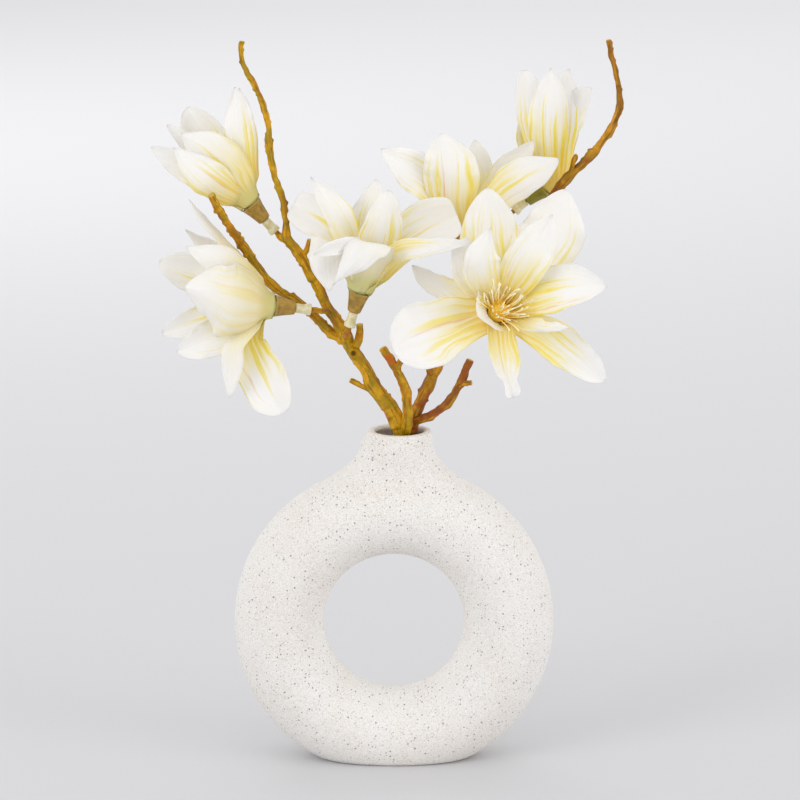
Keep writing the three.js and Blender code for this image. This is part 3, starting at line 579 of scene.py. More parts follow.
def petal_cloth():
    """White cloth with a printed yellow wash and streaks: each lane across the petal holds one streak of
    its own breadth and length, tapered at its far end, a few of the narrow ones salmon. The root is
    yellow to green. The weave and fine veins are relief. Some light shows through."""
    finish = Finish("petal_cloth", Roughness=0.78, Specular_IOR_Level=0.25, Sheen_Weight=0.15)
    along, across = finish.along_across("petal")
    seed, green, ink = (finish.mark("dye", k) for k in range(3))
    wander = finish.noise(finish.vector(along * 1.1, across * 0.6, seed), 2.0, 1) - 0.5

    def streaks(lanes, widest, longest, soft):
        """One streak in each lane, soft at its sides by that share of a lane, and the lane's own draw."""
        lane = across * lanes + wander * (0.55 * lanes) + seed
        cell = finish.floor(lane)
        draws = finish.node("ShaderNodeTexWhiteNoise", {"noise_dimensions": "2D"}, {
            "Vector": finish.vector(cell, finish.floor(seed * 10.0), 0.0)}, out="Color")
        place, breadth, length = (
            finish.node("ShaderNodeSeparateColor", None, {0: draws}, out=k) for k in range(3))
        reach = finish.step(along - length * (longest - 0.3) - 0.3, 0.2, -0.25)
        off = finish.size_of(lane - cell - 0.35 - place * 0.3)
        return finish.step(off - (breadth * 0.7 + 0.35) * reach * widest, soft, -soft) * reach, place

    broad, _ = streaks(3.1, 0.3, 0.84, 0.17)
    narrow, draw = streaks(6.5, 0.2, 0.9, 0.15)
    brush = finish.noise(finish.vector(along * 3.0, across * 9.0, seed), 2.0, 2)
    broad, narrow = broad * finish.step(brush, 0.1, 0.55), narrow * finish.step(brush, 0.2, 0.65)
    wash = finish.step(along + wander * 0.5, 0.72, 0.12)
    root = finish.step(along + wander * 0.1, 0.26, 0.06)
    broad, narrow = (marks * (1 - root * green) * ink for marks in (broad, narrow))
    cloth = finish.colour(wash * (0.28 + ink * 0.55), srgb(254, 253, 251), srgb(254, 242, 160))
    cloth = finish.colour(broad * 0.85, cloth, finish.colour(
        finish.step(along, 0.5, 0.1), srgb(253, 238, 92), srgb(251, 216, 62)))
    cloth = finish.colour(narrow * 0.75, cloth, finish.colour(
        finish.step(draw, 0.86, 0.88), srgb(253, 234, 96), srgb(250, 196, 146)))
    root_colour = finish.colour(green, srgb(250, 212, 80), srgb(234, 233, 158))
    cloth = finish.colour(root * 0.75, cloth, root_colour)
    # A darker green line along the petals' cut base: partly the cloth's own green, partly painted shade
    # where the base meets the cone.
    cut = finish.step(along, 0.03, 0.012) * green
    cloth = finish.colour(cut * 0.6, cloth, srgb(160, 164, 70))
    finish.set("Base Color", cloth)
    warp = finish.mark("cloth")
    x, y = (finish.node("ShaderNodeSeparateXYZ", None, {0: warp}, out=k) for k in (0, 1))
    threads = 9000.0  # radians to the metre, of warp and weft
    weave = finish.sine(x * threads) * finish.sine(y * threads)
    veins = finish.sine((across + wander * 0.5) * 24.0)
    finish.relief(weave * 0.3 + veins * 0.8 + finish.noise(finish.place(), 260, 2) * 2.0, 0.00006)
    glow = finish.node("ShaderNodeBsdfTranslucent", None, {"Color": cloth})
    mixed = finish.node("ShaderNodeMixShader", None, {
        0: 0.36, 1: Shade(finish, finish.surface.outputs[0]), 2: glow})
    finish.tree.links.new(mixed.socket, finish.output.inputs["Surface"])
    return finish.material


def moulded_bark(name, young, mid, dark, red):
    """Satin moulded bark: long ridges and fine grain. Two tones in patches, darker bands, painted shade
    in the grooves and the knots' holes, redder where the twig's own mark says, pale where a twig is cut."""
    finish = Finish(name, Roughness=0.5, Specular_IOR_Level=0.3)
    age, shaded_groove, cut = (finish.mark("wear", k) for k in range(3))
    ridges = finish.noise(finish.mark("grain"), 900, 3, 0.6)
    patches = finish.noise(finish.place(), 120, 3, 0.6)
    blush = finish.noise(finish.place(), 75, 2, 0.5)
    bands = finish.noise(finish.mark("grain"), 330, 2, 0.5)
    tone = finish.colour(finish.step(patches, 0.4, 0.62), young, mid)
    tone = finish.colour(finish.step(bands, 0.5, 0.62) * 0.55, tone, finish.colour(0.5, dark, red))
    tone = finish.colour(finish.step(ridges, 0.52, 0.66) * 0.65, tone, dark)
    tone = finish.colour(finish.step(age + (blush - 0.5) * 2.4, 0.45, 0.85) * 0.85, tone, red)
    # Painted shade: darker in the grooves and in the knots' holes.
    tone = finish.colour(finish.step(shaded_groove, 0.1, 1.0) * 0.85, tone, tuple(c * 0.4 for c in dark))
    tone = finish.colour(cut * 0.75, tone, srgb(214, 176, 74))
    finish.set("Base Color", tone)
    finish.set("Roughness", 0.4 + ridges * 0.25)
    finish.relief(ridges + finish.noise(finish.place(), 1600, 2) * 0.4, 0.0004)
    return finish.material


def moulded_cone():
    """Golden-brown moulded plastic with dull brown clouds, painted shade in the flutes, a paler rim, or
    olive-green throughout.
    """
    finish = Finish("moulded_cone", Roughness=0.55, Specular_IOR_Level=0.35)
    high, flute_shade, olive = (finish.mark("wear", k) for k in range(3))
    mottle = finish.noise(finish.place(), 420, 3)
    clouds = finish.noise(finish.place(), 190, 2)
    tone = finish.colour(finish.step(mottle, 0.35, 0.7), srgb(184, 148, 66), srgb(162, 126, 50))
    tone = finish.colour(finish.step(clouds, 0.5, 0.68) * 0.6, tone, srgb(122, 98, 52))
    tone = finish.colour(olive * 0.85, tone, finish.colour(mottle, srgb(104, 110, 16), srgb(150, 146, 52)))
    # Painted shade: darker in the flutes' grooves.
    tone = finish.colour(flute_shade * 0.25, tone, srgb(96, 74, 32))
    tone = finish.colour(finish.step(high, 0.86, 1.0) * 0.4, tone, srgb(206, 178, 96))
    finish.set("Base Color", tone)
    finish.relief(mottle, 0.0002)
    return finish.material


def pale_sleeve():
    """Smooth pale straw-coloured plastic."""
    finish = Finish("pale_sleeve", Roughness=0.38, Subsurface_Weight=0.3, Subsurface_Scale=0.002)
    mottle = finish.noise(finish.place(), 260, 2)
    tone = finish.colour(finish.step(mottle, 0.3, 0.7), srgb(232, 226, 192), srgb(214, 203, 152))
    finish.set("Base Color", tone)
    finish.relief(mottle, 0.0001)
    return finish.material


def stamen_plastic():
    """Golden at the foot of the tuft, pale cream towards the stamens' ends."""
    finish = Finish("stamen_plastic", Roughness=0.6)
    reach = finish.mark("wear", 0)
    speck = finish.noise(finish.place(), 900, 2)
    tone = finish.colour(finish.step(reach, 0.25, 0.95), srgb(252, 212, 78), srgb(254, 249, 216))
    finish.set("Base Color", finish.colour(speck * 0.12, tone, srgb(246, 220, 130)))
    finish.relief(speck, 0.0001)
    return finish.material


# ---------------------------------------------------------------- ring vase
def ring_grid(thick, deep, around, section):
    """The ring's body: a ring of oval section, where x = (R + t cos b) cos a, z = (R + t cos b) sin a
    above the ring's centre, and y = d sin b."""
    a = np.linspace(0, 2 * np.pi, around, endpoint=False)[:, None]
    b = np.linspace(0, 2 * np.pi, section, endpoint=False)[None, :]
    reach = RING_RADIUS + thick * np.cos(b)
    return np.stack([reach * np.cos(a), deep * np.sin(b) + 0 * a, RING_HIGH + reach * np.sin(a)], -1)


def stand_flat(points, ground, rounding):
    """Presses what is below the ground up to it, with the corner rounded: z becomes
    (z + r)^2 / 4r while it is within r of the ground."""
    z = points[..., 2] - ground
    near = (z + rounding) ** 2 / (4 * rounding)
    points[..., 2] = ground + np.where(z > rounding, z, np.where(z < -rounding, 0, near))
    return points


def ring_top(x, y):
    """The height of the ring's upper surface over the ground plan."""
    reach = RING_RADIUS + RING_THICK * np.sqrt(np.clip(1 - (y / RING_DEEP) ** 2, 0, None))
    return RING_HIGH + np.sqrt(reach**2 - x**2)


def neck_rings(s, turn):
    """The neck's spread from the shoulder, s = 0, to its foot on the ring, s = 1: a cubic that starts
    straight down and ends along the ring's own slope, both with the pull of the straight distance."""
    c, d = np.cos(turn), np.sin(turn)
    start = np.stack([SHOULDER_SHIFT + SHOULDER_RADIUS * c, SHOULDER_RADIUS * d, SHOULDER_HIGH + 0 * c], -1)

    def foot(share):
        x, y = FOOT_WIDE * share * c, FOOT_DEEP * share * d
        return np.stack([x, y, ring_top(x, y) - FOOT_SUNK], -1)

    end = foot(1)
    pull = np.linalg.norm(end - start, axis=-1, keepdims=True)
    down = np.array([0, 0, -1.0]) * pull
    slope = unit(end - foot(0.98)) * pull
    s = np.asarray(s)[:, None, None]
    return (
        start * (2 * s**3 - 3 * s**2 + 1) + down * (s**3 - 2 * s**2 + s)
        + end * (3 * s**2 - 2 * s**3) + slope * (s**3 - s**2)
    )


def level_ring(shift, radius, high, turn):
    return np.stack([shift + radius * np.cos(turn), radius * np.sin(turn), high + 0 * turn], -1)


def lip_rings(middle, bulge, turn):
    """Half of the rounded lip: a quarter circle up to the rim's top. It bulges outwards from the radius
    of the lip's middle, or inwards where bulge is negative."""
    return [
        level_ring(MOUTH_SHIFT, middle + bulge * math.cos(r), MOUTH_HIGH - LIP + LIP * math.sin(r), turn)
        for r in np.linspace(0, np.pi / 2, LIP_STEPS)
    ]


def ring_vase(finish):
    """The outside is the ring joined with its neck. The hollow is a smaller ring joined with the bore."""
    turn = np.linspace(0, 2 * np.pi, NECK_SIDES, endpoint=False)
    neck = np.concatenate([
        neck_rings([1], turn) * (SUNK_SHARE, SUNK_SHARE, 0) + (0, 0, SUNK_HIGH),
        neck_rings(np.linspace(1, 0, NECK_STEPS), turn),
        lip_rings(RIM_RADIUS - LIP, LIP, turn),
    ])
    bore = np.array([
        level_ring(0, MOUTH_BORE, SUNK_HIGH, turn),
        level_ring(SHOULDER_SHIFT, MOUTH_BORE, SHOULDER_HIGH, turn),
        *lip_rings(MOUTH_BORE + LIP, -LIP, turn),
        level_ring(MOUTH_SHIFT, MOUTH_BORE + LIP, MOUTH_HIGH + LIP, turn),
    ])
    outside, neck_skin, hollow, bore_skin = Skins(), Skins(), Skins(), Skins()
    body = ring_grid(RING_THICK, RING_DEEP, *BODY_STEPS)
    inside = ring_grid(RING_THICK - WALL, RING_DEEP - WALL, *HOLLOW_STEPS)
    outside.loops(stand_flat(body, 0, FOOT_ROUNDING))
    neck_skin.rings(neck)
    hollow.loops(stand_flat(inside, FLOOR_THICK, HOLLOW_ROUNDING))
    bore_skin.rings(bore)
    vase = outside.made("ring_vase_body", finish, "vase", "ceramic")
    for skins, operation in ((neck_skin, "UNION"), (hollow, "DIFFERENCE"), (bore_skin, "DIFFERENCE")):
        tool = skins.made("tool", finish, None, "ceramic")
        cut = vase.modifiers.new("cut", "BOOLEAN")
        cut.operation, cut.solver, cut.object = operation, "MANIFOLD", tool
        with bpy.context.temp_override(object=vase, active_object=vase):
            bpy.ops.object.modifier_apply(modifier=cut.name)
        bpy.data.objects.remove(tool)


# ---------------------------------------------------------------- branches
TWIG_STEP = 0.55  # from one ring of a twig to the next
TWIG_SIDES = 30
RIDGES = (2, 3, 5, 7)  # long ridges: how many of each kind there are round the twig
RIDGE_HIGH = 0.05
SLOW_WAVES = (0, 1, 1, 2, 3)  # the same for the waves, where 0 swells the whole twig
WAVE_HIGH = 0.085
KNOB_STEP = 3.5  # from one knob to the next
KNOB_ROUND = 0.7  # how far a knob reaches round the twig, in radians
KNOT_RIM = 2.1  # the radius of a knot's raised rim
KNOT_PIT = 1.2
CUT_ROUNDING = 0.5


def twig_skin(skins, points, seed, redness, knobs, knots):
    """A moulded twig: rings round the curve through its points. The radius runs smoothly through the
    given ones, times 1 + long ridges + slow waves + knobs; its end is cut nearly flat. Each knot is a
    small hole in a raised rim that looks forward, at its height."""
    draw = np.random.default_rng(seed)
    points = np.asarray(points, float)
    spine = points[:, :3]
    rows = int(np.linalg.norm(np.diff(spine, axis=0), axis=-1).sum() / TWIG_STEP) + 10
    u = np.linspace(0, 1, rows)
    middle, forward = through(spine, u), heading(spine, u)
    side, up = carried_sides(forward, (0, 1, 0))
    far = np.concatenate([[0], np.linalg.norm(np.diff(middle, axis=0), axis=-1).cumsum()])[:, None]
    long = far[-1, 0]
    turn = np.linspace(0, 2 * np.pi, TWIG_SIDES, endpoint=False)
    radius = through(np.stack([points[:, 3]] * 3, -1), u)[:, :1]
    relief = np.zeros((rows, TWIG_SIDES))
    for waves in RIDGES:
        phase, drift = draw.uniform(0, 2 * np.pi), draw.uniform(-0.1, 0.1)
        relief += RIDGE_HIGH / waves**0.4 * np.sin(waves * turn + phase + drift * far)
    for waves in SLOW_WAVES:
        long_wave, phase = draw.uniform(5, 15), draw.uniform(0, 2 * np.pi)
        relief += WAVE_HIGH / radius * np.sin(2 * np.pi * far / long_wave + waves * turn + phase)
    for at in np.arange(draw.uniform(1, 4), long, KNOB_STEP):
        way, wide = draw.uniform(0, 2 * np.pi), draw.uniform(0.7, 1.4)
        off = (turn - way + np.pi) % (2 * np.pi) - np.pi
        tall = knobs * draw.uniform(0.2, 1.2) / radius
        relief += tall * np.exp(-((far - at) / wide) ** 2 - (off / KNOB_ROUND) ** 2)
    # Painted shade in the knots' holes, added to the grooves' painted shade below.
    pit_shade = 0 * relief
    for high in knots:
        row = np.argmin(np.abs(middle[:, 2] - high))
        forward_way = np.arctan2(-up[row, 1], -side[row, 1])
        off = (turn - forward_way + np.pi) % (2 * np.pi) - np.pi
        away = np.hypot(far - far[row], off * radius[row])
        rim, hole = np.exp(-((away - KNOT_RIM) / 0.6) ** 2), np.exp(-(away / KNOT_PIT) ** 2)
        relief += (0.6 * rim - 1.4 * hole) / radius
        pit_shade += 2.2 * np.exp(-(away / 1.1) ** 2)
    near_end = np.clip(1 - (long - far) / CUT_ROUNDING, 0, 1)
    spread = radius * (1 + relief) * (1 - 0.3 * near_end**2)
    ring = side[:, None] * np.cos(turn)[None, :, None] + up[:, None] * np.sin(turn)[None, :, None]
    grid = middle[:, None] + ring * spread[..., None]
    none = 0 * relief
    grain = np.stack([np.cos(turn) * radius, np.sin(turn) * radius, far * 0.09 + 9 * seed + none], -1)
    red = np.interp(u, np.linspace(0, 1, len(redness)), redness)[:, None]
    # Painted shade: how much the colour darkens where the surface dips, and in the knots' holes.
    shaded_groove = np.clip(-relief * 2.2, 0, 0.6) + pit_shade
    skins.rings(grid, grain=grain * MM, wear=np.stack([red + none, shaded_groove, near_end + none], -1))


def branch(name, twigs, redness, knobs, knots, finish, node, slot):
    """All twigs of one branch. redness, knobs, knots: for each twig, or else for the others."""
    skins = Skins()
    for n, (twig, points) in enumerate(twigs.items()):
        traits = [by_twig.get(twig, by_twig["other"]) for by_twig in (redness, knobs, knots)]
        twig_skin(skins, points, len(name) + 3 * n, *traits)
    skins.made(name, finish, node, slot)


# ---------------------------------------------------------------- blooms
PETAL_ROWS = 56
PETAL_COLUMNS = 31
CUP_LIFT = 0.15  # the petals' bases stand this far above the cone's rim
CUP_RADIUS = 7.3  # the outermost petals' bases, round the stalk
CUP_STEP = 0.7  # from one whorl of petals in to the next
CUP_FLARE = 0.28  # how fast the cup widens upwards
ALONG_CUP = (1.5, 5.5)  # the least and the most that a petal's middle runs up the cup
LEAVES_CUP = (2.0, 14.0)  # how far up its length a petal leaves the cup, in millimetres
TAB_ROUNDING = 2.4  # the length over which a petal's base rounds off
NARROWEST = 0.35  # half the width of a petal at the very tip
FLATTEST = 0.01  # the least bend of a petal, in radians
VEINS_AT = (-0.6, -0.28, 0.03, 0.33, 0.63)  # across a petal, from edge to edge
VEIN_WIDE = 0.06
VEIN_DEPTH = 0.14
SEAT_ROWS = 18
SEAT_SIDES = 30


def petal_width(u, outline):
    """Half the width at u as a share of the widest: a quarter sine up from the waist to the widest, with
    the base flared back in, then a quarter cosine down to the tip, each to a power, less the neck."""
    widest, waist, base, tip, neck = OUTLINES[outline]
    rising = waist + (1 - waist) * np.sin(np.pi / 2 * np.clip(u / widest, 0, 1)) ** 1.4
    rising += (base - waist) * np.clip(1 - u / 0.25, 0, 1) ** 2
    falling = np.cos(np.pi / 2 * np.clip((u - widest) / (1 - widest), 0, 1)) ** tip
    return np.where(u < widest, rising, falling) * (1 - neck * np.exp(-(((u - 0.8) / 0.13) ** 2)))


def smooth(value, start, end):
    """0 below start and 1 above end, with a cubic between them."""
    t = np.clip((value - start) / (end - start), 0, 1)
    return t * t * (3 - 2 * t)


def carried(vector, facing, stalk):
    """The vector, square to facing, turned by the least turn that takes facing to the stalk."""
    return vector - (stalk @ vector) / (1 + facing @ stalk) * (facing + stalk)


def petal_skin(skins, bloom, petal, whorl, number):
    """A petal: rows across the curve through its points, each an arc with the petal's own curl. Its base
    is a rounded tab that lies on the bloom's cup, which widens up the stalk. Its traits are drawn, or
    given: the tip's fold along its middle and its turn back, the low and high edges' roll, the waves and
    waviness of both edges, the nib that narrows the tip, the strength of the print and its seed."""
    root, stalk, _, _ = stalk_frame(bloom)
    points, across, curl, outline, *own = petal
    draw = np.random.default_rng(number)
    trait = dict(
        fold=draw.uniform(0, 0.5), back=draw.uniform(0, 0.34), low=draw.uniform(-0.22, 0.14),
        high=draw.uniform(-0.22, 0.14), waves=draw.uniform(1.4, 2.6), nib=draw.uniform(0, 0.22),
        wavy=0.12, ink=1,
    )
    for changes in own:
        trait.update(changes)
    phase, drawn = draw.uniform(0, 2 * np.pi, 8), draw.uniform(0, 30)
    seed = trait.get("seed", drawn)
    first, facing = np.asarray(points[0], float), unit(np.asarray(bloom["facing"], float))
    toward = unit(carried(first - facing * (first @ facing), facing, stalk))
    cup = CUP_RADIUS - CUP_STEP * whorl
    base = toward * cup + stalk * CUP_LIFT
    lip = (toward * CUP_FLARE + stalk) * np.clip(2.5 + 0.15 * (first @ stalk), *ALONG_CUP)
    fine = through([base, base + lip, *points], np.linspace(0, 1, 400))
    far = np.concatenate([[0], np.linalg.norm(np.diff(fine, axis=0), axis=-1).cumsum()])
    u = np.sin(np.pi / 2 * np.linspace(0, 1, PETAL_ROWS)) ** 1.15
    v = np.linspace(-1, 1, PETAL_COLUMNS)
    middle = np.stack([np.interp(u * far[-1], far, fine[:, k]) for k in range(3)], -1)
    forward = unit(np.gradient(middle, u, axis=0))
    wide = np.asarray(across, float)
    side = unit(wide - forward * (forward @ wide)[:, None])
    face = np.cross(side, forward)
    half = np.linalg.norm(wide) / 2
    U, V, along = u[:, None], v[None, :], u[:, None] * far[-1]

    bend = np.radians(curl) * smooth(U, -0.1, 0.35) + 0 * V
    bend = np.where(np.abs(bend) < FLATTEST, FLATTEST, bend)
    inner = np.sign(curl)
    wander = 0.05 * np.sin(8.5 * U + phase[0] + V) + 0.03 * np.sin(20 * U + phase[1] - 2 * V)
    nib = 1 - trait["nib"] * smooth(U, 0.8, 1)
    outer = smooth(U, 0.25, 0.6)
    tab = np.sqrt(1 - np.clip(1 - along / TAB_ROUNDING, 0, 0.97) ** 2)
    width = np.maximum(NARROWEST, half * petal_width(U, outline) * (1 + wander * outer) * nib * tab)
    arc_out, arc_up = np.sin(bend * V) / np.sin(bend), (1 - np.cos(bend * V)) / np.sin(bend)

    edge = np.abs(V) ** 2.6 * outer * np.clip((1 - U) / 0.2, 0, 1)
    wavy = trait["wavy"] * edge * np.sin(2 * np.pi * trait["waves"] * U + phase[2] + 1.5 * V)
    ripple = 0.32 * trait["wavy"] * edge * np.sin(2 * np.pi * 3.1 * trait["waves"] * U + phase[3])
    rolled = np.where(V < 0, trait["low"], trait["high"]) * smooth(np.abs(V), 0.5, 1.15)
    rolled = rolled * smooth(U, 0.35, 0.8) * width / half
    buckle = 0.05 * np.sin(np.pi * U) * np.sin(4.3 * U + phase[4]) * np.cos(2.2 * V + phase[5])
    folded = trait["fold"] * np.abs(V) * width / half * smooth(U, 0.66, 1)
    turned_back = -trait["back"] * smooth(U, 0.72, 1.1)
    veins = sum(np.exp(-((V - at) / VEIN_WIDE) ** 2) for at in VEINS_AT)
    pressed = -VEIN_DEPTH * veins * smooth(U, 0.1, 0.4) * smooth(-U, -1, -0.75)
    shaped = wavy + ripple + rolled + buckle + folded + turned_back
    height = width * arc_up + inner * half * shaped + pressed
    free = middle[:, None] + side[:, None] * (width * arc_out)[..., None]
    free = free + face[:, None] * height[..., None]

    sideways = np.cross(stalk, toward) * np.sign(np.cross(stalk, toward) @ side[0])
    round_cup = cup + CUP_FLARE * along
    turn = np.clip(width * V / cup, -1.4, 1.4)
    on_cup = stalk * (CUP_LIFT + along)[..., None] + round_cup[..., None] * (
        toward * np.cos(turn)[..., None] + sideways * np.sin(turn)[..., None]
    )
    left_cup = smooth(along, *LEAVES_CUP)[..., None]
    sheet = root + on_cup + (free - on_cup) * left_cup
    normal = unit(np.cross(np.gradient(sheet, axis=1), np.gradient(sheet, axis=0)))
    thick = (CLOTH_THICK / 2 * (1 - 0.55 * np.abs(V) ** 8) * (1 - 0.75 * smooth(U, 0.93, 1)))[..., None]
    none = 0 * U * V
    inks = (1, bloom["outside"]) if curl > 0 else (bloom["outside"], 1)
    inks = [trait["ink"] * ink for ink in inks]
    marks = {
        "petal": np.stack([U + none, V + none, none], -1),
        "dye": tuple(np.stack([seed + none, bloom["green"] + none, ink + none], -1) for ink in inks),
        "cloth": np.stack([along + none, width * V, none], -1) * MM,
    }
    skins.sheet(sheet + normal * thick, sheet - normal * thick, **marks)


def stalk_frame(bloom):
    """The stalk's direction and two vectors square to it."""
    root, heel = (np.asarray(bloom[k], float) for k in ("root", "heel"))
    stalk = unit(root - heel)
    side = unit(np.cross(stalk, (0.3, 1, 0.2)))
    return root, stalk, side, np.cross(stalk, side)


def turned(profile, bloom, start, sides=48, flutes=0, depth=0.0):
    """A lathe's grid: the profile of (radius, height, share) is turned about the stalk. Flutes press
    rounded grooves into it, by depth x the share, and one side is drawn out into a point at the top."""
    root, stalk, side, up = stalk_frame(bloom)
    turn = np.linspace(0, 2 * np.pi, sides, endpoint=False)
    profile = np.asarray(profile, float)
    shaded_groove = (0.5 - 0.5 * np.cos(flutes * turn)) ** 3 if flutes else 0 * turn
    share, rise = profile[:, 2, None], profile[:, 1, None] / profile[:, 1].max()
    drawn = 1.3 * (0.5 + 0.5 * np.cos(turn - 2.2)) ** 6 * np.clip(rise, 0, 1) ** 3 * share if flutes else 0
    radius = profile[:, 0, None] - depth * shaded_groove * share + drawn
    high = profile[:, 1, None] + start
    ring = side * np.cos(turn)[:, None] + up * np.sin(turn)[:, None]
    grid = root + ring * radius[..., None] + stalk * high[..., None]
    # Marks for the colour: how high up the profile, painted shade in the flutes' grooves, and olive.
    wear = np.stack([rise + 0 * turn, shaded_groove * share, bloom.get("olive", 0) + 0 * radius], -1)
    return grid, wear


def rounded_profile(corners, rounds, steps=8):
    """A closed profile through its corners: its sides are split into steps, and then each point moves
    half-way to the mean of its neighbours, as many times as rounds says."""
    corners = np.asarray(corners, float)
    split = []
    for here, there in zip(corners, np.roll(corners, -1, 0)):
        t = np.linspace(0, 1, steps, endpoint=False)[:, None]
        split.append(here + (there - here) * t)
    points = np.vstack(split)
    for _ in range(rounds):
        points[:, :2] = (np.roll(points, 1, 0) + 2 * points + np.roll(points, -1, 0))[:, :2] / 4
    return points


def cone(name, bloom, finish):
    """The moulded cone: narrow foot, belly, flared rim and a dish for the petals."""
    dish = CONE_LONG - CONE_DISH
    profile = rounded_profile([
        (STALK_BORE, 0, 0), (CONE_FOOT, 0, 0.2), (CONE_BELLY, CONE_BELLY_AT, 1), (CONE_RIM, CONE_LONG, 1),
        (CONE_RIM - CONE_WALL, CONE_LONG, 0), (CONE_RIM - 2 * CONE_WALL, dish, 0), (STALK_BORE, dish, 0),
    ], 2)
    grid, wear = turned(profile, bloom, -CONE_LONG, flutes=5, depth=0.3)
    skins = Skins()
    skins.loops(grid, wear=wear)
    skins.made("calyx_" + name, finish, "cone_" + name, "cone_plastic")


def sleeve(name, bloom, finish):
    """The pale sleeve over the peg, with its collar."""
    profile = rounded_profile([
        (STALK_BORE, 0, 0), (COLLAR_RADIUS - 0.4, 0, 0), (COLLAR_RADIUS, 0.5, 0),
        (COLLAR_RADIUS, COLLAR_LONG, 0), (SLEEVE_RADIUS, 1.4 * COLLAR_LONG, 0),
        (SLEEVE_RADIUS, SLEEVE_LONG, 0), (STALK_BORE, SLEEVE_LONG, 0),
    ], 2)
    grid, wear = turned(profile, bloom, -CONE_LONG - PIECE_GAP - SLEEVE_LONG)
    skins = Skins()
    skins.loops(grid, wear=wear)
    skins.made("tube_" + name, finish, "sleeve_" + name, "sleeve_plastic")


def petals(name, bloom, number, finish):
    """The petals with the seat that they are gathered on: it stands in the cone's dish, widens with
    the cup and domes over."""
    skins = Skins()
    t = np.linspace(0, 0.98, SEAT_ROWS)
    high = SEAT_HIGH * np.sin(np.pi / 2 * t)
    wide = (SEAT_RADIUS + SEAT_FLARE * high) * np.cos(np.pi / 2 * t) ** 0.35
    grid, _ = turned(np.stack([wide, high, 0 * t], -1), bloom, SEAT_START, SEAT_SIDES)
    skins.rings(grid, petal=(0.12, 0, 0), dye=(1, bloom["green"], 1), cloth=(0, 0, 0))
    for n, (petal, whorl) in enumerate(zip(bloom["petals"], bloom["whorls"])):
        petal_skin(skins, bloom, petal, whorl, 100 * number + n)
    skins.made("cloth_" + name, finish, "petals_" + name, "petal_cloth", uv="petal")


def stamens(name, bloom, number, finish):
    """The bloom's centre: a dome, and thin curved stamens fanned round the way it faces on a sunflower
    spiral, each a tapered tube that bends outwards and ends in a longer, thicker anther."""
    root, stalk, _, _ = stalk_frame(bloom)
    draw = np.random.default_rng(number + 7)
    skins = Skins()
    foot = root + stalk * CENTRE_LIFT
    reach = np.asarray(bloom["centre"], float)
    long, facing = np.linalg.norm(reach) - CENTRE_LIFT, unit(reach)
    side = unit(np.cross(facing, (0.2, 0.3, 1)))
    up = np.cross(facing, side)
    bulge = np.linspace(-0.49 * np.pi, 0.49 * np.pi, 12)
    turn = np.linspace(0, 2 * np.pi, 24, endpoint=False)
    ring = side * np.cos(turn)[:, None] + up * np.sin(turn)[:, None]
    dome = foot + CENTRE_RADIUS * bloom["fan"] * (
        ring[None] * np.cos(bulge)[:, None, None] + facing * np.sin(bulge)[:, None, None]
    )
    skins.rings(dome, wear=(0, 0, 0))
    turn = np.linspace(0, 2 * np.pi, STAMEN_SIDES, endpoint=False)
    t = np.linspace(0, 1, STAMEN_ROWS)
    count = bloom["stamens"]
    for n in range(count):
        spread = bloom["fan"] * math.sqrt((n + 0.5) / count)
        round_by = STAMEN_TURN * n + draw.uniform(-0.2, 0.2)
        out = side * math.cos(round_by) + up * math.sin(round_by)
        way = facing * math.cos(spread) + out * math.sin(spread)
        far = long * draw.uniform(0.36, 1.05)
        bend, sway = far * draw.uniform(-0.25, 0.2), far * draw.uniform(-0.25, 0.25)
        middle = foot + out * (STAMEN_FOOT * spread) + way * (far * t)[:, None]
        middle = middle + out * (bend * t**2)[:, None]
        middle += np.cross(way, out) * (sway * np.sin(2.6 * t) * t)[:, None]
        forward = unit(np.gradient(middle, axis=0))
        sides, ups = carried_sides(forward, (0.3, 0.2, 1))
        thick = STAMEN_RADIUS * (1 - 0.3 * t + 0.4 * np.exp(-((t - 0.95) / 0.05) ** 2))
        tube = middle[:, None] + (
            sides[:, None] * np.cos(turn)[:, None] + ups[:, None] * np.sin(turn)[:, None]
        ) * thick[:, None, None]
        skins.rings(tube, wear=np.stack([t, 0 * t, 0 * t], -1)[:, None])
    skins.made("stamens_" + name, finish, "centre_" + name, "centre_plastic")


# ---------------------------------------------------------------- studio
FLOOR_HALF = 8.0
SKY_COLOUR = (0.985, 0.985, 1, 1)
SKY_STRENGTH = 0.86

# Soft lights: place, aim, size and watts.
SOFTBOXES = {
    "key": ((-3.0, -2.6, 1.6), (0, 0, 0.2), 2.0, 46),
    "fill": ((3.6, -2.0, 0.8), (0, 0, 0.2), 2.4, 52),
    "paper_light": ((-0.8, 2.2, 1.3), (-0.65, 1.95, 0), 1.0, 6.5),
    "far_paper_light": ((0.6, 3.1, 1.7), (0.6, 3.1, 0), 2.0, 10.5),
}


def camera():
    """Looks along +Y from 12.5 degrees above, from 2.6 m, with a long lens."""
    target, distance, raised = np.array([0.0036, 0, 0.218]), 2.6, math.radians(12.5)
    lens = bpy.data.cameras.new("camera")
    lens.sensor_width, lens.lens = 36, 198.3
    lens.clip_start, lens.clip_end = 0.1, 50
    made = bpy.data.objects.new("camera", lens)
    made.location = target + distance * np.array([0, -math.cos(raised), math.sin(raised)])
    made.rotation_euler = (math.pi / 2 - raised, 0, 0)
    bpy.context.scene.collection.objects.link(made)
    bpy.context.scene.camera = made


def softbox(name, place, aim, size, power):
    """A square soft light that points from its place to its aim."""
    light = bpy.data.lights.new(name, "AREA")
    light.size, light.energy = size, power
    made = bpy.data.objects.new(name, light)
    place, aim = np.asarray(place, float), np.asarray(aim, float)
    back = unit(place - aim)
    made.location = place
    made.rotation_euler = (math.acos(back[2]), 0, math.atan2(back[0], -back[1]))
    bpy.context.scene.collection.objects.link(made)


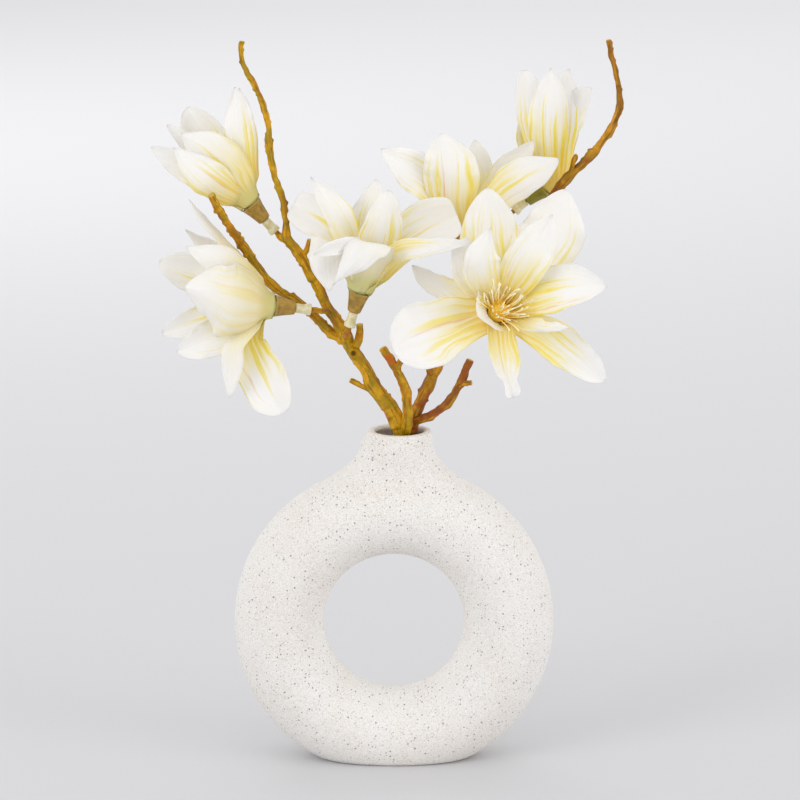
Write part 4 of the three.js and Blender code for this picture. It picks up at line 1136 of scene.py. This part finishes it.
def studio():
    """A wide pale floor, an even pale sky, a soft light on each side and two on the paper behind."""
    finish = Finish("paper_floor", Roughness=0.9, Specular_IOR_Level=0.1)
    finish.set("Base Color", finish.colour(
        finish.noise(finish.place(), 900, 2), srgb(213, 213, 215), srgb(216, 216, 217)))
    mesh = bpy.data.meshes.new("paper_floor")
    corners = [(x * FLOOR_HALF, y * FLOOR_HALF, 0) for x, y in ((-1, -1), (1, -1), (1, 1), (-1, 1))]
    mesh.from_pydata(corners, [], [(0, 1, 2, 3)])
    floor = bpy.data.objects.new("paper_floor", mesh)
    floor.data.materials.append(finish.material)
    bpy.context.scene.collection.objects.link(floor)
    world = bpy.data.worlds.new("sky")
    world.use_nodes = True
    background = world.node_tree.nodes["Background"]
    background.inputs[0].default_value = SKY_COLOUR
    background.inputs[1].default_value = SKY_STRENGTH
    bpy.context.scene.world = world
    for name, light in SOFTBOXES.items():
        softbox(name, *light)
    bpy.context.scene.view_settings.view_transform = "Standard"


camera()
studio()

STONEWARE = speckled_stoneware()
PETAL_CLOTH = petal_cloth()
GOLDEN_BARK = moulded_bark(
    "golden_bark", srgb(168, 134, 2), srgb(216, 160, 6), srgb(100, 70, 2), srgb(186, 86, 12))
RED_BARK = moulded_bark(
    "red_bark", srgb(168, 122, 12), srgb(206, 144, 22), srgb(88, 50, 6), srgb(140, 64, 16))
CONE_PLASTIC = moulded_cone()
SLEEVE_PLASTIC = pale_sleeve()
STAMEN_PLASTIC = stamen_plastic()

ring_vase(STONEWARE)
branch(
    "golden_branch", LEFT_TWIGS,
    {"other": [0.1, 0.5], "trunk": [0.1, 0.1, -0.2, -0.3], "knobbly": [0.4, 0, 0.1, 0.5]},
    {"other": 0.5, "knobbly": 1.2, "trunk": 1.0, "stump_middle": 0.1}, {"other": [], "trunk": [246]},
    GOLDEN_BARK, "branch_left", "golden_bark",
)
branch(
    "red_branch", RIGHT_TWIGS,
    {"other": [0.5, 0.3], "trunk": [0.7, 0.6, 0.4, 0.1, -0.1], "stub": [0.5, 0.9], "bud": [-1, -1]},
    {"other": 0.55, "trunk": 0.95, "bud": 0.0}, {"other": []},
    RED_BARK, "branch_right", "red_bark",
)
for number, (name, bloom) in enumerate(BLOOMS.items()):
    cone(name, bloom, CONE_PLASTIC)
    sleeve(name, bloom, SLEEVE_PLASTIC)
    petals(name, bloom, number, PETAL_CLOTH)
    stamens(name, bloom, number, STAMEN_PLASTIC)
